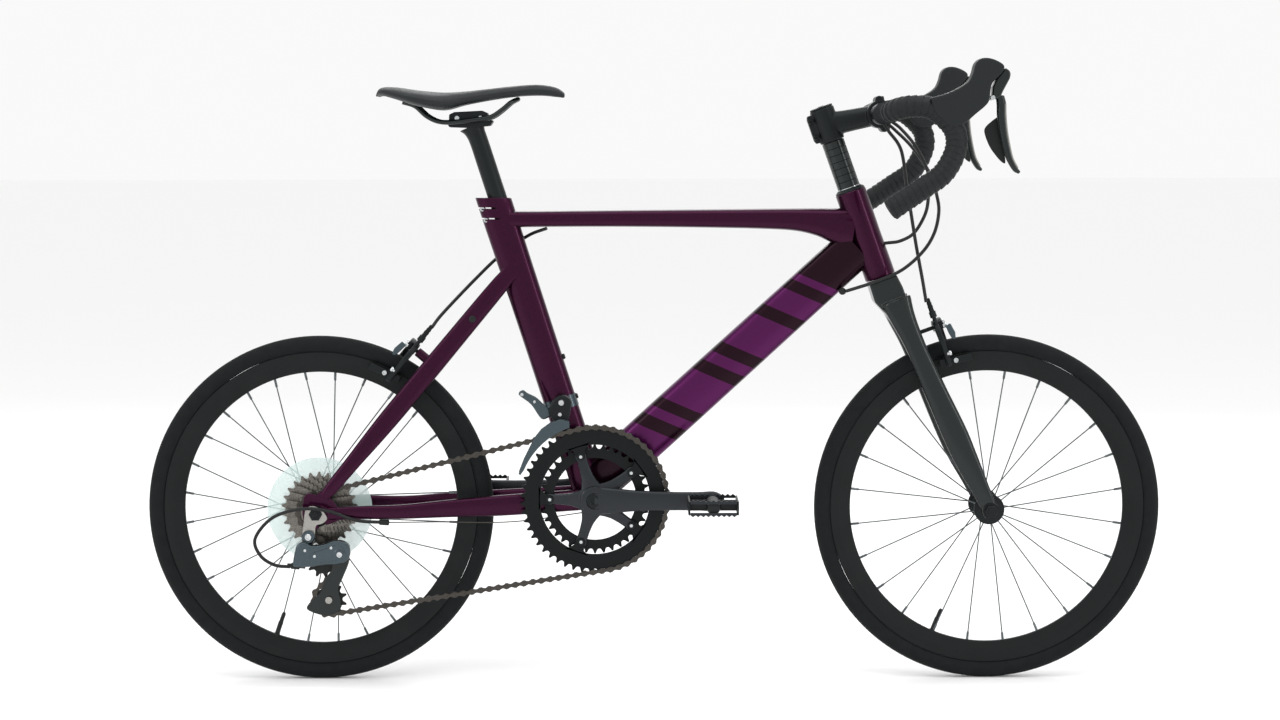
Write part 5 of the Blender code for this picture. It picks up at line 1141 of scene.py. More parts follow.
for word, side in (("right", -1), ("left", 1)):
    middle = side * HALF_TRACK
    head_shape = from_bar(((0.1533, 0.0612), (0.1590, 0.0570), (0.1612, 0.0530), (0.1597, 0.0460),
                           (0.1507, 0.0290), (0.1470, 0.0205), (0.1400, 0.0170), (0.1356, 0.0200),
                           (0.1362, 0.0340), (0.1420, 0.0470)))
    head = add_piece(
        "lever_head_" + word, *plate(head_shape, middle - 0.0108, middle + 0.0108, flat), fork_gloss)
    round_edges(head, 0.0030, 4)
    as_plain_mesh(head)
    settle(head, "lever_unit_" + word, "lever_unit_" + word, slot="black_alloy")
    blade = add_piece(
        "lever_blade_" + word, *shaped_tube(blade_line(middle), 28, 2.4, dome=0.002), fork_gloss)
    settle(blade, "brake_lever_" + word, "brake_lever_" + word, slot="grey_alloy")
    # The bright steel strip along the blade's front edge is a painted highlight: it stands in for the light
    # that the rounded front catches.
    painted_highlight_line = [(x + 0.72 * high, y, z + 0.12 * high, 0.0022, wide * 0.82)
                 for x, y, z, high, wide in blade_line(middle)[1:-1]]
    edge = add_piece("lever_front_edge_" + word, *shaped_tube(painted_highlight_line, 16), steel_plated)
    settle(edge, "brake_lever_" + word)
    paddle_shape = from_bar(smooth_outline(
        [(0.1400, -0.0100), (0.1300, -0.0190), (0.1275, -0.0275), (0.1344, -0.0462), (0.1440, -0.0600),
         (0.1520, -0.0685), (0.1569, -0.0690), (0.1545, -0.0500), (0.1518, -0.0368), (0.1490, -0.0140),
         (0.1450, -0.0065)],
        4))
    near, far = sorted((middle - side * 0.0068, middle - side * 0.0098))
    paddle = add_piece(
        "shift_paddle_" + word + "_blade", *plate(paddle_shape, near, far, flat), black_plastic)
    round_edges(paddle, 0.0009, 2)
    as_plain_mesh(paddle)
    settle(paddle, "shift_paddle_" + word, "shift_paddle_" + word, slot="black_alloy")
    pin = Vector((pull[0], middle, pull[2]))
    add_bolts("lever_pivot_" + word, "lever_unit_" + word, bright_steel,
              [(pin + SIDE * 0.0108, SIDE, 0.0034, 0.0016), (pin - SIDE * 0.0108, -SIDE, 0.0034, 0.0016)])


# %% [markdown]
# ## Caliper brakes
# Each brake is two forged arms that cross at the centre bolt, with a rubber pad in an alloy holder.
# The arms are thick outlines with rounded edges. The bolts, the cable adjuster and its rubber boot are
# turned pieces, because their outlines show against the pale background.

# %% Caliper arms, shoes and small parts
RIM_RADIUS, PAD_DEPTH, RIM_HALF, PAD_GAP = 0.2300, 0.0073, 0.0100, 0.0019


def add_caliper(prefix, foot_place, forward, down, axle):
    outward = (foot_place + down * 0.052 + forward * 0.016 - axle).normalized()
    shoe = axle + outward * (RIM_RADIUS - PAD_DEPTH)
    along = outward.cross(SIDE)
    for word, side, near in (("right", -1, 0.0010), ("left", 1, 0.0094)):
        shape = smooth_outline(
            [(-0.008, -0.0060), (0.006, -0.0110), (0.022, -0.0080), (0.033, 0.0060), (0.036, 0.0220),
             (0.031, 0.0400), (0.0275, 0.0560), (0.0235, 0.0585), (0.0195, 0.0560), (0.0190, 0.0420),
             (0.0240, 0.0260), (0.0220, 0.0120), (0.0120, 0.0052), (-0.004, 0.0060)],
            5)

        def place(u, v, w, side=side):
            return foot_place + SIDE * side * u + down * v + forward * w

        def beside_rim(u, v, w, side=side):
            return shoe + SIDE * side * u + outward * v + along * w

        body = prefix + "_brake_arm_" + word
        arm = add_piece(body + "_forged", *plate(shape, near, near + 0.0080, place), satin_black)
        round_edges(arm, 0.0022, 3)
        as_plain_mesh(arm)
        settle(arm, body, body, slot="black_alloy")
        inner = RIM_HALF + PAD_GAP
        holder = ((inner + 0.0035, -0.0052), (inner + 0.0085, -0.0048), (inner + 0.0085, 0.0048),
                  (inner + 0.0035, 0.0052))
        rubber = ((inner, -0.0044), (inner + 0.0036, -0.0048), (inner + 0.0036, 0.0048), (inner, 0.0044))
        shell = add_piece(body + "_pad_holder", *plate(holder, -0.0240, 0.0240, beside_rim), satin_black)
        round_edges(shell, 0.0008, 2)
        settle(shell, body)
        pad = add_piece(body + "_pad", *plate(rubber, -0.0236, 0.0236, beside_rim), pad_rubber)
        round_edges(pad, 0.0006, 2)
        settle(pad, body)
        bolts = [(shoe + SIDE * side * (inner + 0.0085), SIDE * side, 0.0040)]
        bolts.append((place(0.030, 0.040, near + 0.0080), forward, 0.0036))
        if side > 0:
            bolts += [
                (place(0, 0, near + 0.0080), forward, 0.0062),
                (place(-0.0150, 0.001, near + 0.0085), forward, 0.0040)]
        add_bolts(body + "_bolts", body, bright_steel, bolts)
    stalk = foot_place - down * 0.0100 + forward * 0.0060 + SIDE * -0.022
    add_turned(
        prefix + "_cable_adjuster",
        [(-0.010, 0.0030), (0.006, 0.0030), (0.0062, 0.0050), (0.0150, 0.0050), (0.0156, 0.0038),
         (0.0200, 0.0036)],
        stalk, -down, 24, satin_black, prefix + "_brake_arm_right")
    add_turned(
        prefix + "_cable_boot",
        [(0.0, 0.0036), (0.003, 0.0040), (0.005, 0.0033), (0.008, 0.0037), (0.010, 0.0030), (0.013, 0.0033),
         (0.0155, 0.0026)],
        stalk - down * 0.0198, -down, 24, pad_rubber, prefix + "_brake_arm_right")
    quick = foot_place + down * 0.004 + forward * 0.021 + SIDE * -0.030
    lever = add_piece(
        prefix + "_release_lever",
        *plate(
            [(-0.004, -0.004), (0.004, -0.005), (0.0065, 0.010), (0.004, 0.019), (-0.001, 0.018),
             (-0.003, 0.008)],
            -0.0016, 0.0016, lambda u, v, w: quick + forward * u + down * v + SIDE * w),
        grey_alloy)
    round_edges(lever, 0.0012, 2)
    settle(lever, prefix + "_brake_arm_right")
    add_turned(
        prefix + "_caliper_centre_bolt",
        [(-0.030, 0.0030), (0.0010, 0.0030), (0.0012, 0.0070), (0.0009, 0.0070)], foot_place, forward, 20,
        satin_black, "steering" if prefix == "front" else "frame")


add_caliper("front", front_foot, steer_forward, -steer_up, front_axle)
rear_back = Vector(joints["rear_arm_right_close"]["axis"]).normalized()
rear_down = SIDE.cross(rear_back)
add_caliper("rear", rear_foot, rear_back, rear_down * (1 if rear_down.z < 0 else -1), rear_axle)


# %% [markdown]
# ## Cranks and chainrings
# The cranks are cold forged alloy with a soft satin finish. The right one carries a five-arm spider
# and two toothed rings. A ring is made from one tooth: the turning tree copies that sector round the
# axle and welds the copies, so every tooth is the same and the ring is one closed piece.

# %% Toothed rings
PITCH = 0.0127
LARGE_TEETH, SMALL_TEETH, PULLEY_TEETH = 52, 38, 11
COGS = (13, 14, 15, 17, 19, 21, 23, 26)


def pitch_radius(teeth):
    return PITCH / 2 / math.sin(math.pi / teeth)


def tooth_sector(teeth, inner, width):
    """One tooth's share of a flat ring, open at both ends so that its copies weld."""
    radius = pitch_radius(teeth)
    root, tip = radius - 0.0036, radius + 0.0032
    points = []
    rows = ((0.0, root), (0.16, root + 0.0004), (0.27, root + 0.0022), (0.38, tip - 0.0009), (0.46, tip),
            (0.54, tip), (0.62, tip - 0.0009), (0.73, root + 0.0022), (0.84, root + 0.0004), (1.0, root))
    for share, out in rows:
        turn = 2 * math.pi * share / teeth
        thin = 0.30 if out > root + 0.003 else 0.5
        for y, r in ((-width / 2, inner), (-width / 2, root - 0.0012), (-width * thin, out),
                     (width * thin, out),
                     (width / 2, root - 0.0012), (width / 2, inner)):
            points.append(Vector((r * math.cos(turn), y, r * math.sin(turn))))
    faces = []
    for i in range(len(rows) - 1):
        for j in range(6):
            k = (j + 1) % 6
            faces.append((i * 6 + j, i * 6 + k, i * 6 + 6 + k, i * 6 + 6 + j))
    return points, faces


def toothed_ring(name, teeth, inner, width, centre, finish):
    ring = turned_copies(name, tooth_sector(teeth, inner, width), teeth, centre, finish, 0.00002, 28)
    face_outwards(ring.data)
    return ring


LINE_FRONT, LINE_REAR, RING_GAP = 0.0480, 0.0585, 0.0065
large = toothed_ring(
    "chainring_large_teeth", LARGE_TEETH, 0.0800, 0.0020, bottom - SIDE * LINE_FRONT, ring_black)
small = toothed_ring(
    "chainring_small_teeth", SMALL_TEETH, 0.0600, 0.0020, bottom - SIDE * (LINE_FRONT - RING_GAP),
    ring_black)
tab = [(0.0615, -0.0040), (0.0640, -0.0066), (0.0720, -0.0080), (0.0790, -0.0150), (0.0815, -0.0200),
       (0.0815, 0.0160), (0.0770, 0.0080), (0.0700, 0.0066), (0.0640, 0.0060), (0.0615, 0.0040)]


def tab_place(u, v, w):
    c, s = math.cos(math.radians(36)), math.sin(math.radians(36))
    return Vector((u * c - v * s, w, u * s + v * c))


tabs = turned_copies(
    "chainring_tabs", plate(tab, -0.0010, 0.0010, tab_place), 5, bottom - SIDE * LINE_FRONT, ring_black)
settle(large, "crankset", "chainring_large", slot="black_alloy")
settle(small, "crankset", "chainring_small", slot="black_alloy")
settle(tabs, "crankset")


# %% Crank arms, spider and ring bolts
CRANK = 0.1700


def crank_shape(side):
    ahead = -side
    rows = [(0.000, 0.0610, 0.0205, 0.0068), (0.028, 0.0622, 0.0182, 0.0069),
            (0.060, 0.0640, 0.0152, 0.0066), (0.110, 0.0675, 0.0136, 0.0062),
            (0.150, 0.0700, 0.0136, 0.0060), (0.170, 0.0710, 0.0146, 0.0060),
            (0.180, 0.0713, 0.0118, 0.0054), (0.1865, 0.0714, 0.0064, 0.0042)]
    stations = [(*(bottom + Vector((ahead * a, side * y, 0))), high, wide) for a, y, high, wide in rows]
    boss = lathe(
        [(0.0500, 0.0185), (0.0510, 0.0195), (0.0600, 0.0213), (0.0675, 0.0205), (0.0685, 0.0185),
         (0.0685, 0.0120), (0.0660, 0.0110)],
        bottom, SIDE * side, 48)
    return [shaped_tube(stations, 40, 3.0, dome=0.001), boss]


spider_arm = []
for radius, half, low, high in ((0.0150, 0.0165, -0.0560, -0.0430), (0.0260, 0.0115, -0.0545, -0.0429),
                                (0.0350, 0.0088, -0.0525, -0.0428), (0.0480, 0.0076, -0.0500, -0.0426),
                                (0.0600, 0.0074, -0.0478, -0.0425),
                                (0.0655, 0.0085, -0.0470, -0.0425), (0.0710, 0.0074, -0.0470, -0.0425)):
    spider_arm.append([
        Vector((radius, low, half * 0.75)), Vector((radius, low + 0.0015, half)),
        Vector((radius, high, half)), Vector((radius, high, -half)), Vector((radius, low + 0.0015, -half)),
        Vector((radius, low, -half * 0.75))])
turn36 = Matrix.Rotation(-math.radians(36), 4, "Y")
spider_arm = [[turn36 @ p for p in ring] for ring in spider_arm]
arm_right = add_piece(
    "crank_right_forged",
    *merged([
        *crank_shape(-1),
        lathe([(0.0420, 0.0225), (0.0430, 0.0235), (0.0550, 0.0235), (0.0560, 0.0215)], bottom, -SIDE, 48)]),
    crank_slate)
settle(arm_right, "crankset", "crank_right", slot="black_alloy")
spider = turned_copies("crank_spider", loft(spider_arm), 5, bottom, crank_slate)
round_edges(spider, 0.0009, 2)
settle(spider, "crankset")
arm_left = add_piece("crank_left_forged", *merged(crank_shape(1)), crank_slate)
settle(arm_left, "crankset", "crank_left", slot="black_alloy")
add_turned("crank_spindle", [(-0.052, 0.0087), (0.0505, 0.0087)], bottom, SIDE, 32, steel_plated, "crankset")
for side, word in ((-1, "right"), (1, "left")):
    add_bolts(
        "crank_bolt_" + word, "crankset", satin_black,
        [(bottom + SIDE * side * 0.0662, SIDE * side, 0.0100, 0.0018)])
    end = bottom + Vector((-side * CRANK, 0, 0))
    add_turned(
        "pedal_spindle_" + word,
        [(0.0640, 0.0060), (0.0735, 0.0068), (0.0770, 0.0072), (0.0775, 0.0045), (0.1395, 0.0042)], end,
        SIDE * side, 24, steel_plated, "crankset")
ring_bolt = socket_bolt(turn36 @ Vector((0.0655, -0.0489, 0)), -SIDE, 0.0050, 0.0016)
ring_bolts = turned_copies("chainring_bolts", ring_bolt, 5, bottom, satin_black)
settle(ring_bolts, "crankset")
bolt_end = lathe([(0.0, 0.0023), (0.0014, 0.0023)], turn36 @ Vector((0.0655, -0.0495, 0)), -SIDE, 16)
settle(turned_copies("chainring_bolt_ends", bolt_end, 5, bottom, bright_steel), "crankset")


# %% [markdown]
# ## Pedals
# A plain city pedal: a black moulded body on a steel spindle, between two bent plates with a
# toothed edge. The plates' teeth are cut by a formula along their outline.

# %% Pedals
def serrated(length, low, high, teeth, level):
    """A strip's outline with small teeth along the edge away from the pedal's middle."""
    outline = [(-length / 2 * level, level * low), (length / 2 * level, level * low)]
    for i in range(teeth * 2, -1, -1):
        u = -length / 2 + length * i / (teeth * 2)
        outline.append((u * level, level * (high if i % 2 else high - 0.0026)))
    return outline


for side, word in ((-1, "right"), (1, "left")):
    centre = bottom + Vector((-side * CRANK, 0, 0))
    inner, outer = 0.0790, 0.1490
    body = "pedal_" + word
    for i, y in enumerate((inner + 0.0026, outer - 0.0014)):
        strips = [plate(serrated(0.066, 0.0062, 0.0122, 9, level), y - 0.0011, y + 0.0011,
                        lambda u, v, w: centre + Vector((u, side * w, v))) for level in (-1, 1)]
        cage = add_piece(body + "_cage_" + "ab"[i], *merged(strips), crank_slate)
        settle(cage, body, *([body] if not i else []), slot="grey_alloy" if not i else None)
    for i, sign in enumerate((-1, 1)):
        x = sign * 0.0345
        rail = [(inner + 0.001, -0.0100), (outer - 0.001, -0.0100), (outer - 0.001, 0.0100),
                (inner + 0.001, 0.0100)]
        strip = add_piece(body + "_rail_" + "ab"[i], *plate(rail, x - 0.0014, x + 0.0014,
                          lambda u, v, w: centre + Vector((w, side * u, v))), satin_black)
        round_edges(strip, 0.0010, 2)
        settle(strip, body)
    barrel = [lathe(
        [(inner + 0.0012, 0.0070), (inner + 0.0012, 0.0092), (inner + 0.012, 0.0104),
         (outer - 0.014, 0.0104), (outer - 0.004, 0.0085), (outer - 0.003, 0.0060)],
        centre, SIDE * side, 32)]
    web = [(-0.0335, -0.0050), (-0.0335, 0.0050), (0.0335, 0.0050), (0.0335, -0.0050)]
    for y in (inner + 0.012, inner + 0.030, inner + 0.048):
        barrel.append(plate(web, y, y + 0.006, lambda u, v, w: centre + Vector((u, side * w, v))))
    core = add_piece(body + "_core", *merged(barrel), black_plastic)
    settle(core, body)


# %% [markdown]
# ## Chain
# A chain repeats two links: an inner one with its rollers and an outer one with its pins. The chain's
# own line runs round the large ring, the smallest cog and both pulleys. A node tree sets links along
# it by even and odd count, each turned to the line.

# %% Chain line and links
guide = on_middle("guide_pulley_turn")
tension = on_middle("tension_pulley_turn")


def chain_line():
    wheels = [
        (bottom, pitch_radius(LARGE_TEETH), 1, LINE_FRONT), (rear_axle, pitch_radius(COGS[0]), 1, LINE_REAR),
        (guide, pitch_radius(PULLEY_TEETH), -1, LINE_REAR),
        (tension, pitch_radius(PULLEY_TEETH), 1, LINE_REAR)]
    leaving, arriving = [], []
    for i, (centre, radius, spin, line) in enumerate(wheels):
        far, far_radius, far_spin, _ = wheels[(i + 1) % 4]
        gap = far - centre
        lean = math.asin((far_spin * far_radius - spin * radius) / gap.length)
        normal = math.atan2(gap.z, gap.x) - lean + math.pi / 2
        leaving.append(normal + (math.pi if spin > 0 else 0))
        arriving.append(normal + (math.pi if far_spin > 0 else 0))
    path = []
    for i, (centre, radius, spin, line) in enumerate(wheels):
        start = arriving[i - 1]
        turn_by = (leaving[i] - start) * spin % (2 * math.pi)
        steps = max(6, round(turn_by / math.radians(4)))
        for j in range(steps + 1):
            turn = start + spin * turn_by * j / steps
            path.append(centre + Vector((math.cos(turn), 0, math.sin(turn))) * radius - SIDE * line)
    return path


def link_plate(y, thick, half):
    """A waisted side plate, one pitch long, at y."""
    outline = []
    for end in (1, -1):
        for i in range(7):
            turn = math.radians(-75 + 150 * i / 6)
            outline.append((end * (PITCH / 2 + half * math.cos(turn)), end * half * math.sin(turn)))
        outline.append((0.0, end * half * 0.45))
    return plate(outline, y - thick / 2, y + thick / 2, flat)


def make_link(name, y, rollers):
    parts = [link_plate(y, 0.0009, 0.0045), link_plate(-y, 0.0009, 0.0045)]
    for x in (-PITCH / 2, PITCH / 2):
        if rollers:
            parts.append(lathe([(-0.0020, 0.0037), (0.0020, 0.0037)], (x, 0, 0), SIDE, 12))
        else:
            parts.append(lathe([(-0.0035, 0.0018), (0.0035, 0.0018)], (x, 0, 0), SIDE, 10))
    return add_piece(name, *merged(parts), chain_steel, 30)


def make_chain_tree():
    tree, given = new_tree(
        "links_along_line",
        (("Line", "Geometry"), ("Links", "Int"), ("Inner", "Object"), ("Outer", "Object"),
         ("Finish", "Material")),
        "Chain")
    curve = add_node(tree, "GeometryNodeMeshToCurve", {"Mesh": given["Line"]}).outputs[0]
    spots = add_node(
        tree, "GeometryNodeCurveToPoints", {"Curve": curve, "Count": given["Links"]}, mode="COUNT").outputs
    parts = add_node(tree, "ShaderNodeSeparateXYZ", {"Vector": spots["Tangent"]}).outputs
    slope = maths(tree, "ARCTAN2", parts["Z"], parts["X"])
    back = maths(tree, "MULTIPLY", slope, -1.0)
    turn = add_node(tree, "ShaderNodeCombineXYZ", {"Y": back}).outputs[0]
    index = add_node(tree, "GeometryNodeInputIndex").outputs[0]
    odd = maths(tree, "MODULO", index, 2.0)
    even = maths(tree, "SUBTRACT", 1.0, odd)
    joined = add_node(tree, "GeometryNodeJoinGeometry")
    for name, chosen in (("Inner", even), ("Outer", odd)):
        shape = add_node(tree, "GeometryNodeObjectInfo", {"Object": given[name]}).outputs["Geometry"]
        links = add_node(
            tree, "GeometryNodeInstanceOnPoints",
            {"Points": spots["Points"], "Selection": chosen, "Instance": shape, "Rotation": turn})
        tree.links.new(links.outputs[0], joined.inputs[0])
    real = add_node(tree, "GeometryNodeRealizeInstances", {"Geometry": joined.outputs[0]}).outputs[0]
    return end_tree(tree, real, given["Finish"])


path = chain_line()
length = sum((b - a).length for a, b in zip(path, path[1:] + path[:1]))
links = 2 * round(length / PITCH / 2)
inner_link = make_link("inner_link", 0.0018, True)
outer_link = make_link("outer_link", 0.0028, False)
mesh = bpy.data.meshes.new("chain_line")
mesh.from_pydata([tuple(p) for p in path], [(i, (i + 1) % len(path)) for i in range(len(path))], [])
chain = into_scene("chain_links", mesh)
run_tree(chain, make_chain_tree(), Links=links, Inner=inner_link, Outer=outer_link, Finish=chain_steel)
for spare in (inner_link, outer_link):
    bpy.data.objects.remove(spare)
settle(chain, "frame", "chain", slot="steel")
print(links, "links over", round(length, 4), "m,", len(chain.data.polygons), "faces")


# %% Cassette and pulleys
for i, teeth in enumerate(COGS):
    centre = rear_axle - SIDE * (LINE_REAR - i * 0.0048)
    cog = toothed_ring(
        "cog_%d_teeth" % teeth, teeth, 0.0170 if i < 3 else pitch_radius(teeth) * 0.78, 0.0018, centre,
        cog_steel)
    settle(cog, "cassette", *(["cassette"] if not i else []), slot="steel" if not i else None)
    if i > 2:
        reach = pitch_radius(teeth) * 0.80
        ray = [(0.0168, -0.0040), (reach, -0.0022), (reach, 0.0022), (0.0168, 0.0040)]
        rays = turned_copies("cog_%d_arms" % teeth, plate(ray, -0.0008, 0.0008, flat), 9, centre, cog_steel)
        settle(rays, "cassette")
add_turned(
    "cassette_carrier",
    [(-0.0615, 0.0169), (-0.0615, 0.0200), (-0.0602, 0.0205), (-0.0596, 0.0190), (-0.0235, 0.0190),
     (-0.0235, 0.0169)],
    rear_axle, SIDE, 48, ring_black, "cassette", closed=True)
for word, centre in (("guide", guide), ("tension", tension)):
    wheel = toothed_ring(
        word + "_pulley_teeth", PULLEY_TEETH, 0.0048, 0.0024, centre - SIDE * LINE_REAR, black_plastic)
    settle(wheel, word + "_pulley", word + "_pulley", slot="black_alloy")


# %% [markdown]
# ## Derailleurs
# The rear one hangs from the dropout: a painted body with a spring knuckle at each end, and below it
# a long cage of two stamped plates with two toothed pulleys between. The front one is a curved fork
# of plate over the chain, moved by a short link arm. Bodies are thick outlines with well rounded
# edges, and plates are thin ones.

# %% Rear derailleur
def around(centre, shape):
    return [(centre.x + u, centre.z + v) for u, v in shape]


def rounded_plate(name, outline, low, high, finish, edge, body="frame", steps=4):
    """A smooth closed outline made thick, with rounded edges."""
    closed = list(outline)
    smooth = smooth_outline(closed + [closed[0]], steps)[:-1] if steps else closed
    made = add_piece(name, *plate(smooth, min(low, high), max(low, high), flat), finish)
    if edge:
        round_edges(made, edge, 3)
        as_plain_mesh(made)
    return settle(made, body)


cage_middle = (guide + tension) / 2
cage_shape = around(
    cage_middle,
    ((0.010, 0.033), (0.031, 0.036), (0.032, 0.024), (0.023, 0.002), (0.0175, -0.012), (0.0205, -0.028),
     (0.0190, -0.044), (0.000, -0.0515), (-0.0245, -0.0445), (-0.0270, -0.0360), (-0.0085, -0.0180),
     (-0.0020, 0.001), (0.0080, 0.016)))
cage_out = rounded_plate("cage_outer_plate", cage_shape, -0.0660, -0.0645, fork_gloss, 0.0004)
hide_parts("rear_derailleur")
rounded_plate("cage_inner_plate", cage_shape, -0.0525, -0.0513, fork_gloss, 0.0003)
hanger = rear_axle + Vector((-0.0100, 0, -0.0325))
body_shape = around(
    hanger,
    ((-0.0165, -0.0100), (-0.0215, -0.0330), (-0.0195, -0.0420), (0.0030, -0.0420), (0.0200, -0.0395),
     (0.0430, -0.0380), (0.0560, -0.0330), (0.0610, -0.0230), (0.0590, -0.0110), (0.0500, -0.0050),
     (0.0360, -0.0045), (0.0215, -0.0095), (0.0060, -0.0115), (-0.0060, -0.0060)))
shell = rounded_plate("derailleur_body", body_shape, -0.0890, -0.0735, grey_alloy, 0.0045)
link = around(
    hanger,
    ((0.002, -0.030), (0.012, -0.034), (0.040, -0.033), (0.052, -0.026), (0.052, -0.015), (0.044, -0.010),
     (0.034, -0.012), (0.020, -0.017), (0.006, -0.022)))
rounded_plate("derailleur_cover", link, -0.0905, -0.0880, grey_alloy, 0.0012)
knuckle = hanger + Vector((0.046, 0, -0.0235))
turned_parts = [
    lathe([(0.0714, 0.0060), (0.0714, 0.0096), (0.0790, 0.0096), (0.0805, 0.0080)], hanger, -SIDE, 32),
    lathe([(0.0645, 0.0092), (0.0740, 0.0094), (0.0900, 0.0088), (0.0912, 0.0070)], knuckle, -SIDE, 32)]
pivots = add_piece("derailleur_knuckles", *merged(turned_parts), grey_alloy)
settle(pivots, "frame")
rounded_plate(
    "derailleur_bracket",
    around(
        hanger,
        ((-0.0085, -0.0080), (0.0075, -0.0080), (0.0090, 0.0060), (0.0110, 0.0160), (0.0200, 0.0190),
         (0.0270, 0.0270), (0.0190, 0.0390), (0.0060, 0.0445), (-0.0040, 0.0400), (-0.0070, 0.0220),
         (-0.0095, 0.0020))),
    -0.0748, -0.0722, steel_plated, 0.0008)
lug = around(
    knuckle,
    ((-0.030, -0.010), (-0.004, -0.0105), (0.007, -0.006), (0.009, 0.002), (0.004, 0.0095), (-0.020, 0.008)))
rounded_plate("cage_link", lug, -0.0662, -0.0645, satin_black, 0.0004)
pin_profile = [(0.0505, 0.0040), (0.0680, 0.0040), (0.0682, 0.0056), (0.0692, 0.0050)]
axle_pins = [lathe(pin_profile, centre, -SIDE, 20) for centre in (guide, tension)]
settle(add_piece("pulley_bolts", *merged(axle_pins), steel_plated), "frame")
add_bolts("derailleur_bolts", "frame", bright_steel,
          [(hanger - SIDE * 0.0800, -SIDE, 0.0052), (knuckle - SIDE * 0.0908, -SIDE, 0.0046),
           (hanger + Vector((0.010, -0.0905, -0.026)), -SIDE, 0.0022, 0.0015),
           (hanger + Vector((0.034, -0.0905, -0.014)), -SIDE, 0.0022, 0.0015),
           (hanger + Vector((-0.004, -0.0888, -0.018)), -SIDE, 0.0022, 0.0015)])
settle(
    add_piece(
        "derailleur_adjuster",
        *lathe(
            [(-0.014, 0.0026), (-0.006, 0.0026), (-0.0058, 0.0046), (0.006, 0.0046), (0.0066, 0.0034),
             (0.012, 0.0030)],
            rear_axle + Vector((-0.0290, -0.0790, -0.0745)), (-1, 0, 0.10), 24),
        black_plastic),
    "frame")

# %% Front derailleur
ring = pitch_radius(LARGE_TEETH)


def polar(radius, degrees):
    return (
        bottom.x + radius * math.cos(math.radians(degrees)),
        bottom.z + radius * math.sin(math.radians(degrees)))


inner_edge = [polar(ring + 0.0062, t) for t in range(109, 158, 4)]
outer_edge = [polar(ring + r, t)
              for r, t in ((0.0090, 162), (0.0125, 159), (0.0138, 150), (0.0160, 142), (0.0205, 134),
                           (0.0235, 127), (0.0240, 120), (0.0225, 113), (0.0150, 108))]
for name, low, high in (("outer", -0.0547, -0.0535), ("inner", -0.0425, -0.0413)):
    cage = add_piece("front_cage_" + name, *plate(inner_edge + outer_edge, low, high, flat), grey_alloy)
    round_edges(cage, 0.0004, 2)
    settle(cage, "frame")
    if name == "outer":
        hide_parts("front_derailleur")
for name, low, high, near, far in (("top", 114, 124, 0.0216, 0.0232), ("tail", 158, 161, 0.0090, 0.0118)):
    corners = [
        polar(ring + near, low), polar(ring + near, high), polar(ring + far, high), polar(ring + far, low)]
    settle(add_piece("front_cage_" + name, *plate(corners, -0.0540, -0.0420, flat), grey_alloy), "frame")
mount = seat(ring + 0.0393)
rounded_plate(
    "front_derailleur_body",
    around(
        mount,
        ((-0.014, -0.026), (0.004, -0.024), (0.009, -0.010), (0.010, 0.006), (-0.002, 0.014),
         (-0.014, 0.008), (-0.023, -0.010))),
    -0.0419, -0.0175, satin_black, 0.0028)
arm = around(
    mount,
    ((-0.0200, -0.0180), (-0.0190, -0.0100), (-0.0310, 0.0010), (-0.0410, 0.0105), (-0.0530, 0.0165),
     (-0.0600, 0.0210), (-0.0660, 0.0145), (-0.0480, 0.0000), (-0.0330, -0.0210)))
rounded_plate("front_derailleur_arm", arm, -0.0372, -0.0300, grey_alloy, 0.0020)
band = [seat(ring + 0.0393 + dz, -0.006) for dz in (-0.009, 0.009)]
clamp_rings = [oval(p, seat_forward, SIDE, 0.0250, 0.0175, 64, 2.3) for p in band]
inner_rings = [oval(p, seat_forward, SIDE, 0.0241, 0.0166, 64, 2.3) for p in band[::-1]]
clamp = add_piece("front_derailleur_band", *loft(clamp_rings + inner_rings, True), grey_alloy)
settle(clamp, "frame")
add_bolts("front_derailleur_bolts", "frame", bright_steel,
          [(Vector((mount.x - 0.0610, -0.0372, mount.z + 0.0150)), -SIDE, 0.0026, 0.0020),
           (Vector((mount.x - 0.0430, -0.0372, mount.z + 0.0040)), -SIDE, 0.0022, 0.0014),
           (Vector((mount.x - 0.0040, -0.0419, mount.z + 0.0030)), -SIDE, 0.0044, 0.0030),
           (Vector((mount.x - 0.0060, -0.0419, mount.z - 0.0140)), -SIDE, 0.0030, 0.0020)])


# %% [markdown]
# ## Seatpost and saddle
# The post is a plain black tube with a forged head that clamps two steel rails. The saddle is a thin
# foam pad on a stiff shell under a cover that is pulled tight and glued, so it has no folds, and its
# outline is lofted through widths and heights close to the CAD solid's, only far more finely.

# %% Post, head and rails
POST_TOP = 0.5441
neck = seat(POST_TOP)
post_rows = [
    (*seat(0.349), 0.0136, 0.0136), (*seat(0.500), 0.0136, 0.0136), (*neck, 0.0136, 0.0136),
    (*(neck + Vector((-0.0060, 0, 0.0150))), 0.0148, 0.0138),
    (*(neck + Vector((-0.0095, 0, 0.0235))), 0.0200, 0.0153)]
post = add_piece("seatpost_tube", *shaped_tube(post_rows, 48), satin_black)
settle(post, "seat", "seatpost", slot="black_alloy")
clamp_head = neck + Vector((-0.0130, 0, 0.0300))
rounded_plate(
    "saddle_clamp_lower",
    around(
        clamp_head,
        ((-0.0325, -0.0035), (-0.0290, -0.0085), (0.0000, -0.0095), (0.0300, -0.0065), (0.0340, -0.0005),
         (0.0330, 0.0018), (-0.0320, -0.0012))),
    -0.0160, 0.0160, satin_black, 0.0012, "seat", 0)
rounded_plate(
    "saddle_clamp_upper",
    around(
        clamp_head,
        ((-0.0300, -0.0008), (0.0260, -0.0008), (0.0265, 0.0120), (0.0180, 0.0155), (-0.0220, 0.0135),
         (-0.0295, 0.0100))),
    -0.0165, 0.0165, satin_black, 0.0014, "seat", 0)
add_bolts("saddle_clamp_bolts", "seat", bright_steel,
          [(clamp_head + Vector((x, -0.0162, 0.0050)), -SIDE, 0.0036, 0.0022) for x in (-0.018, 0.016)])


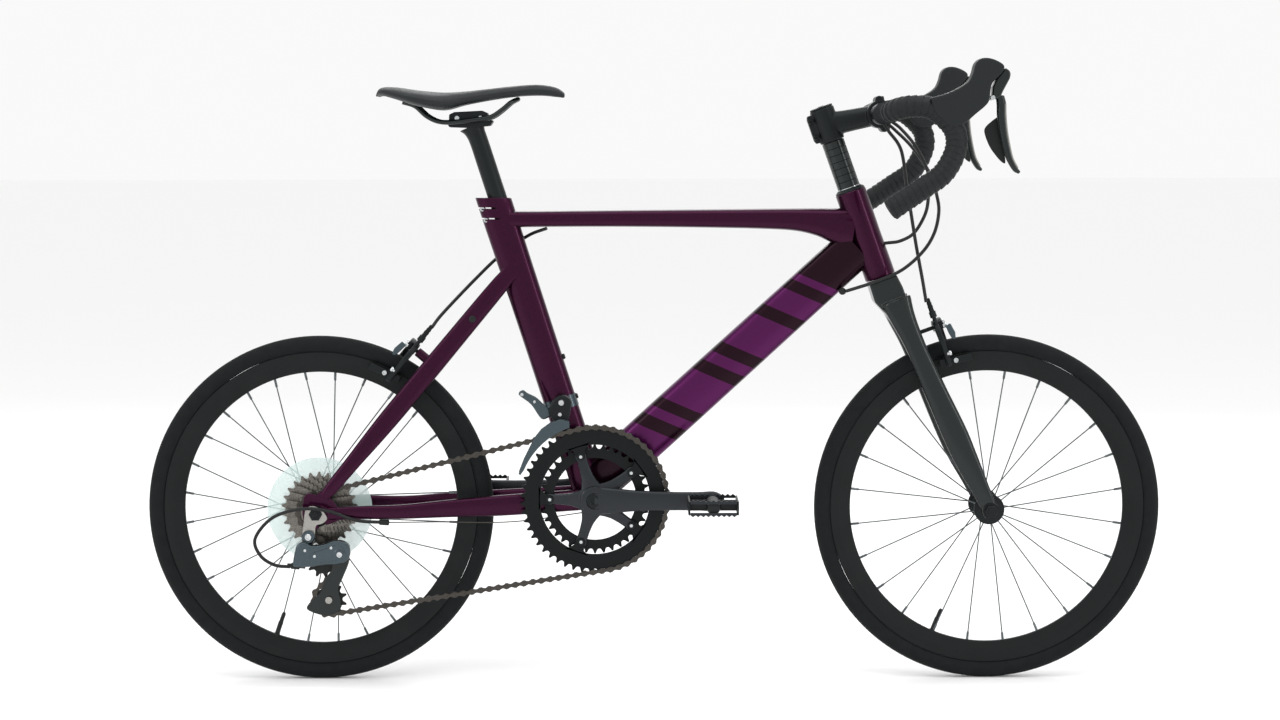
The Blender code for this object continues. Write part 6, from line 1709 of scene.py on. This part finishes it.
def rail_route():
    head = neck + Vector((-0.0130, 0, 0.0340))
    shape = ((-0.0960, 0.0240), (-0.0780, 0.0180), (-0.0620, 0.0040), (-0.0450, -0.0040), (-0.0250, -0.0050),
             (0.0150, -0.0010), (0.0330, 0.0030), (0.0480, 0.0130), (0.0600, 0.0230))
    spread = (1.00, 1.00, 1.00, 1.00, 1.00, 1.00, 0.95, 0.75, 0.55)
    right = [head + Vector((x, -0.0220 * share, z)) for (x, z), share in zip(shape, spread)]
    left = [Vector((p.x, -p.y, p.z)) for p in right[::-1]]
    return even_route(right + [head + Vector((0.0700, 0, 0.0280))] + left, 0.0030)


rails = add_piece("saddle_rails_steel", *loft(carried_rings(rail_route(), 0.0035, 16)), fork_gloss)
settle(rails, "seat", "saddle_rails", slot="black_alloy")

# %% Saddle
tail = neck + Vector((-0.1480, 0, 0.0700))
saddle_rows = [(0.0000, -0.0010, 0.0060, 0.0260), (0.0080, 0.0090, 0.0150, 0.0480),
               (0.0300, 0.0095, 0.0230, 0.0650), (0.0620, 0.0050, 0.0300, 0.0700),
               (0.0960, 0.0020, 0.0330, 0.0600), (0.1280, 0.0035, 0.0255, 0.0400),
               (0.1620, 0.0070, 0.0220, 0.0270), (0.2000, 0.0112, 0.0205, 0.0215),
               (0.2350, 0.0130, 0.0205, 0.0195), (0.2600, 0.0090, 0.0180, 0.0170),
               (0.2730, 0.0010, 0.0100, 0.0100)]
rings = []
for x, top, deep, half in spline(saddle_rows, 6):
    ring_points = []
    for i in range(44):
        turn = 2 * math.pi * (i + 0.5) / 44
        c, s = math.cos(turn), math.sin(turn)
        drop = 0.45 * deep * (1 - s) if s >= 0 else 0.45 * deep - 0.55 * deep * s * (0.35 + 0.65 * abs(c))
        ring_points.append(tail + Vector((x, half * math.copysign(abs(c) ** 0.85, c), top - drop)))
    rings.append(ring_points)
saddle = add_piece("saddle_padded_cover", *loft(rings), saddle_cover)
softened(saddle, 0.0016, 14)
settle(saddle, "seat", "saddle", slot="saddle_cover")


# %% [markdown]
# ## Cables
# Housings are steel-lined plastic tubes that spring into smooth curves between their two ends. Each
# follows the CAD cable's chosen points, carried on to the bar. The two that run from the bar to the frame
# bend with the steering, but here they stay fixed where they are made, on neither body.

# %% Housings and cable ends
def add_housing(name, runs, body, node, radius=0.0025, finish=None, replaces=True):
    """A cable along runs of (anchor, offsets from it); two bodies leave it fixed in world place, on neither
    body.
    """
    line = even_route([anchor + Vector(offset) for anchor, offsets in runs for offset in offsets], 0.003)
    made = add_piece(name, *loft(carried_rings(line, radius, 14)), finish or cable_sheath)
    if isinstance(body, tuple):
        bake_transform(made)
    else:
        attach(made, body)
    if replaces:
        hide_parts(node)


head_foot = steer(HEAD_FOOT)
top_end = Vector((-0.2209, 0, TOP))
add_housing("front_brake_housing", [
    (bar_centre, [(0.0030, -0.0270, -0.0130), (0.0110, -0.0280, -0.0249), (0.0289, -0.0320, -0.0529),
                  (0.0374, -0.0350, -0.1099)]),
    (front_foot, [(-0.0361, -0.0360, 0.1728), (-0.0276, -0.0340, 0.1228), (-0.0176, -0.0290, 0.0728),
                  (-0.0116, -0.0260, 0.0398)])],
    "steering", "housing_front_brake")
add_housing("rear_brake_housing", [
    (bar_centre, [(0.0140, -0.0440, -0.0110), (0.0269, -0.0500, -0.0219), (0.0469, -0.0640, -0.0479),
                  (0.0650, -0.0620, -0.0859)]),
    (head_foot, [(0.0644, -0.0450, 0.1168), (0.0614, -0.0300, 0.0918), (0.0474, -0.0150, 0.0648),
                 (0.0284, -0.0050, 0.0528), (0.0104, 0.0000, 0.0498), (0.0030, 0.0000, 0.0490)])],
    ("frame", "steering"), "housing_rear_brake")
add_housing("shift_housing", [
    (bar_centre, [(0.0140, 0.0540, -0.0110), (0.0269, 0.0500, -0.0219), (0.0509, 0.0300, -0.0479),
                  (0.0730, -0.0100, -0.0859)]),
    (head_foot, [(0.0784, -0.0300, 0.1188), (0.0804, -0.0380, 0.0948), (0.0734, -0.0420, 0.0648),
                 (0.0564, -0.0440, 0.0378), (0.0264, -0.0440, 0.0118), (-0.0116, -0.0400, -0.0052),
                 (-0.0366, -0.0300, -0.0142), (-0.0516, -0.0240, -0.0192)])],
    ("frame", "steering"), "housing_shift")
add_housing("rear_brake_cable", [
    (top_end, [(0.0649, 0.0080, -0.0255), (0.0409, 0.0180, -0.0345), (0.0159, 0.0230, -0.0505),
               (-0.0111, 0.0220, -0.0715)]),
    (rear_foot, [(0.0868, 0.0140, 0.1060), (0.0568, 0.0000, 0.0750), (0.0348, -0.0120, 0.0510),
                 (0.0238, -0.0200, 0.0360)])],
    "frame", "cable_rear_brake")
add_housing("rear_shift_cable", [
    (rear_axle - SIDE * 0.065, [(0.0990, 0.0090, -0.0145), (0.0590, -0.0050, -0.0095),
                                (0.0190, -0.0200, 0.0065), (-0.0210, -0.0230, 0.0095),
                                (-0.0610, -0.0210, -0.0035), (-0.0860, -0.0200, -0.0335),
                                (-0.0790, -0.0180, -0.0585), (-0.0590, -0.0160, -0.0725),
                                (-0.0370, -0.0140, -0.0755)])],
    "frame", "cable_rear_shift")
add_housing("bare_shift_wire", [
    (bottom, [(-0.0100, -0.0240, -0.0215), (-0.1200, -0.0440, -0.0330), (-0.2300, -0.0520, -0.0320)]),
    (rear_axle, [(0.1000, -0.0560, -0.0146)])],
    "frame", None, 0.0008, chain_steel, False)


# %% Small frame fittings
def boss(place, axis, radius, height):
    return lathe(
        [(-0.003, radius * 0.8), (0.0, radius), (height * 0.7, radius), (height, radius * 0.75)], place,
        axis, 20)


fittings = [
    boss(seat(0.2090, 0.0180), seat_forward, 0.0040, 0.0035),
    boss(seat(0.1480, 0.0180), seat_forward, 0.0040, 0.0035),
    boss(head_foot + Vector((-0.0560, -0.0170, -0.0200)), (-0.5, -0.8, 0.1), 0.0052, 0.0040),
    boss(Vector((-0.2630, -0.0340, 0.5330)), (0, -1, 0), 0.0050, 0.0022),
    lathe(
        [(-0.005, 0.0042), (0.008, 0.0042), (0.009, 0.0032)], Vector((-0.3900, -0.0560, 0.2390)),
        (-1, -0.3, 0.1), 20)]
settle(add_piece("frame_fittings", *merged(fittings), black_plastic), "frame")
pinch = []
for level in (SEAT_TOP - 0.0085, SEAT_TOP - 0.0245):
    spot = seat((level - bottom.z) / seat_up.z, -0.0255)
    pinch += [(spot - SIDE * 0.0098, -SIDE, 0.0036, 0.0022), (spot + SIDE * 0.0098, SIDE, 0.0036, 0.0022)]
add_bolts("seat_clamp_bolts", "frame", bright_steel, pinch)
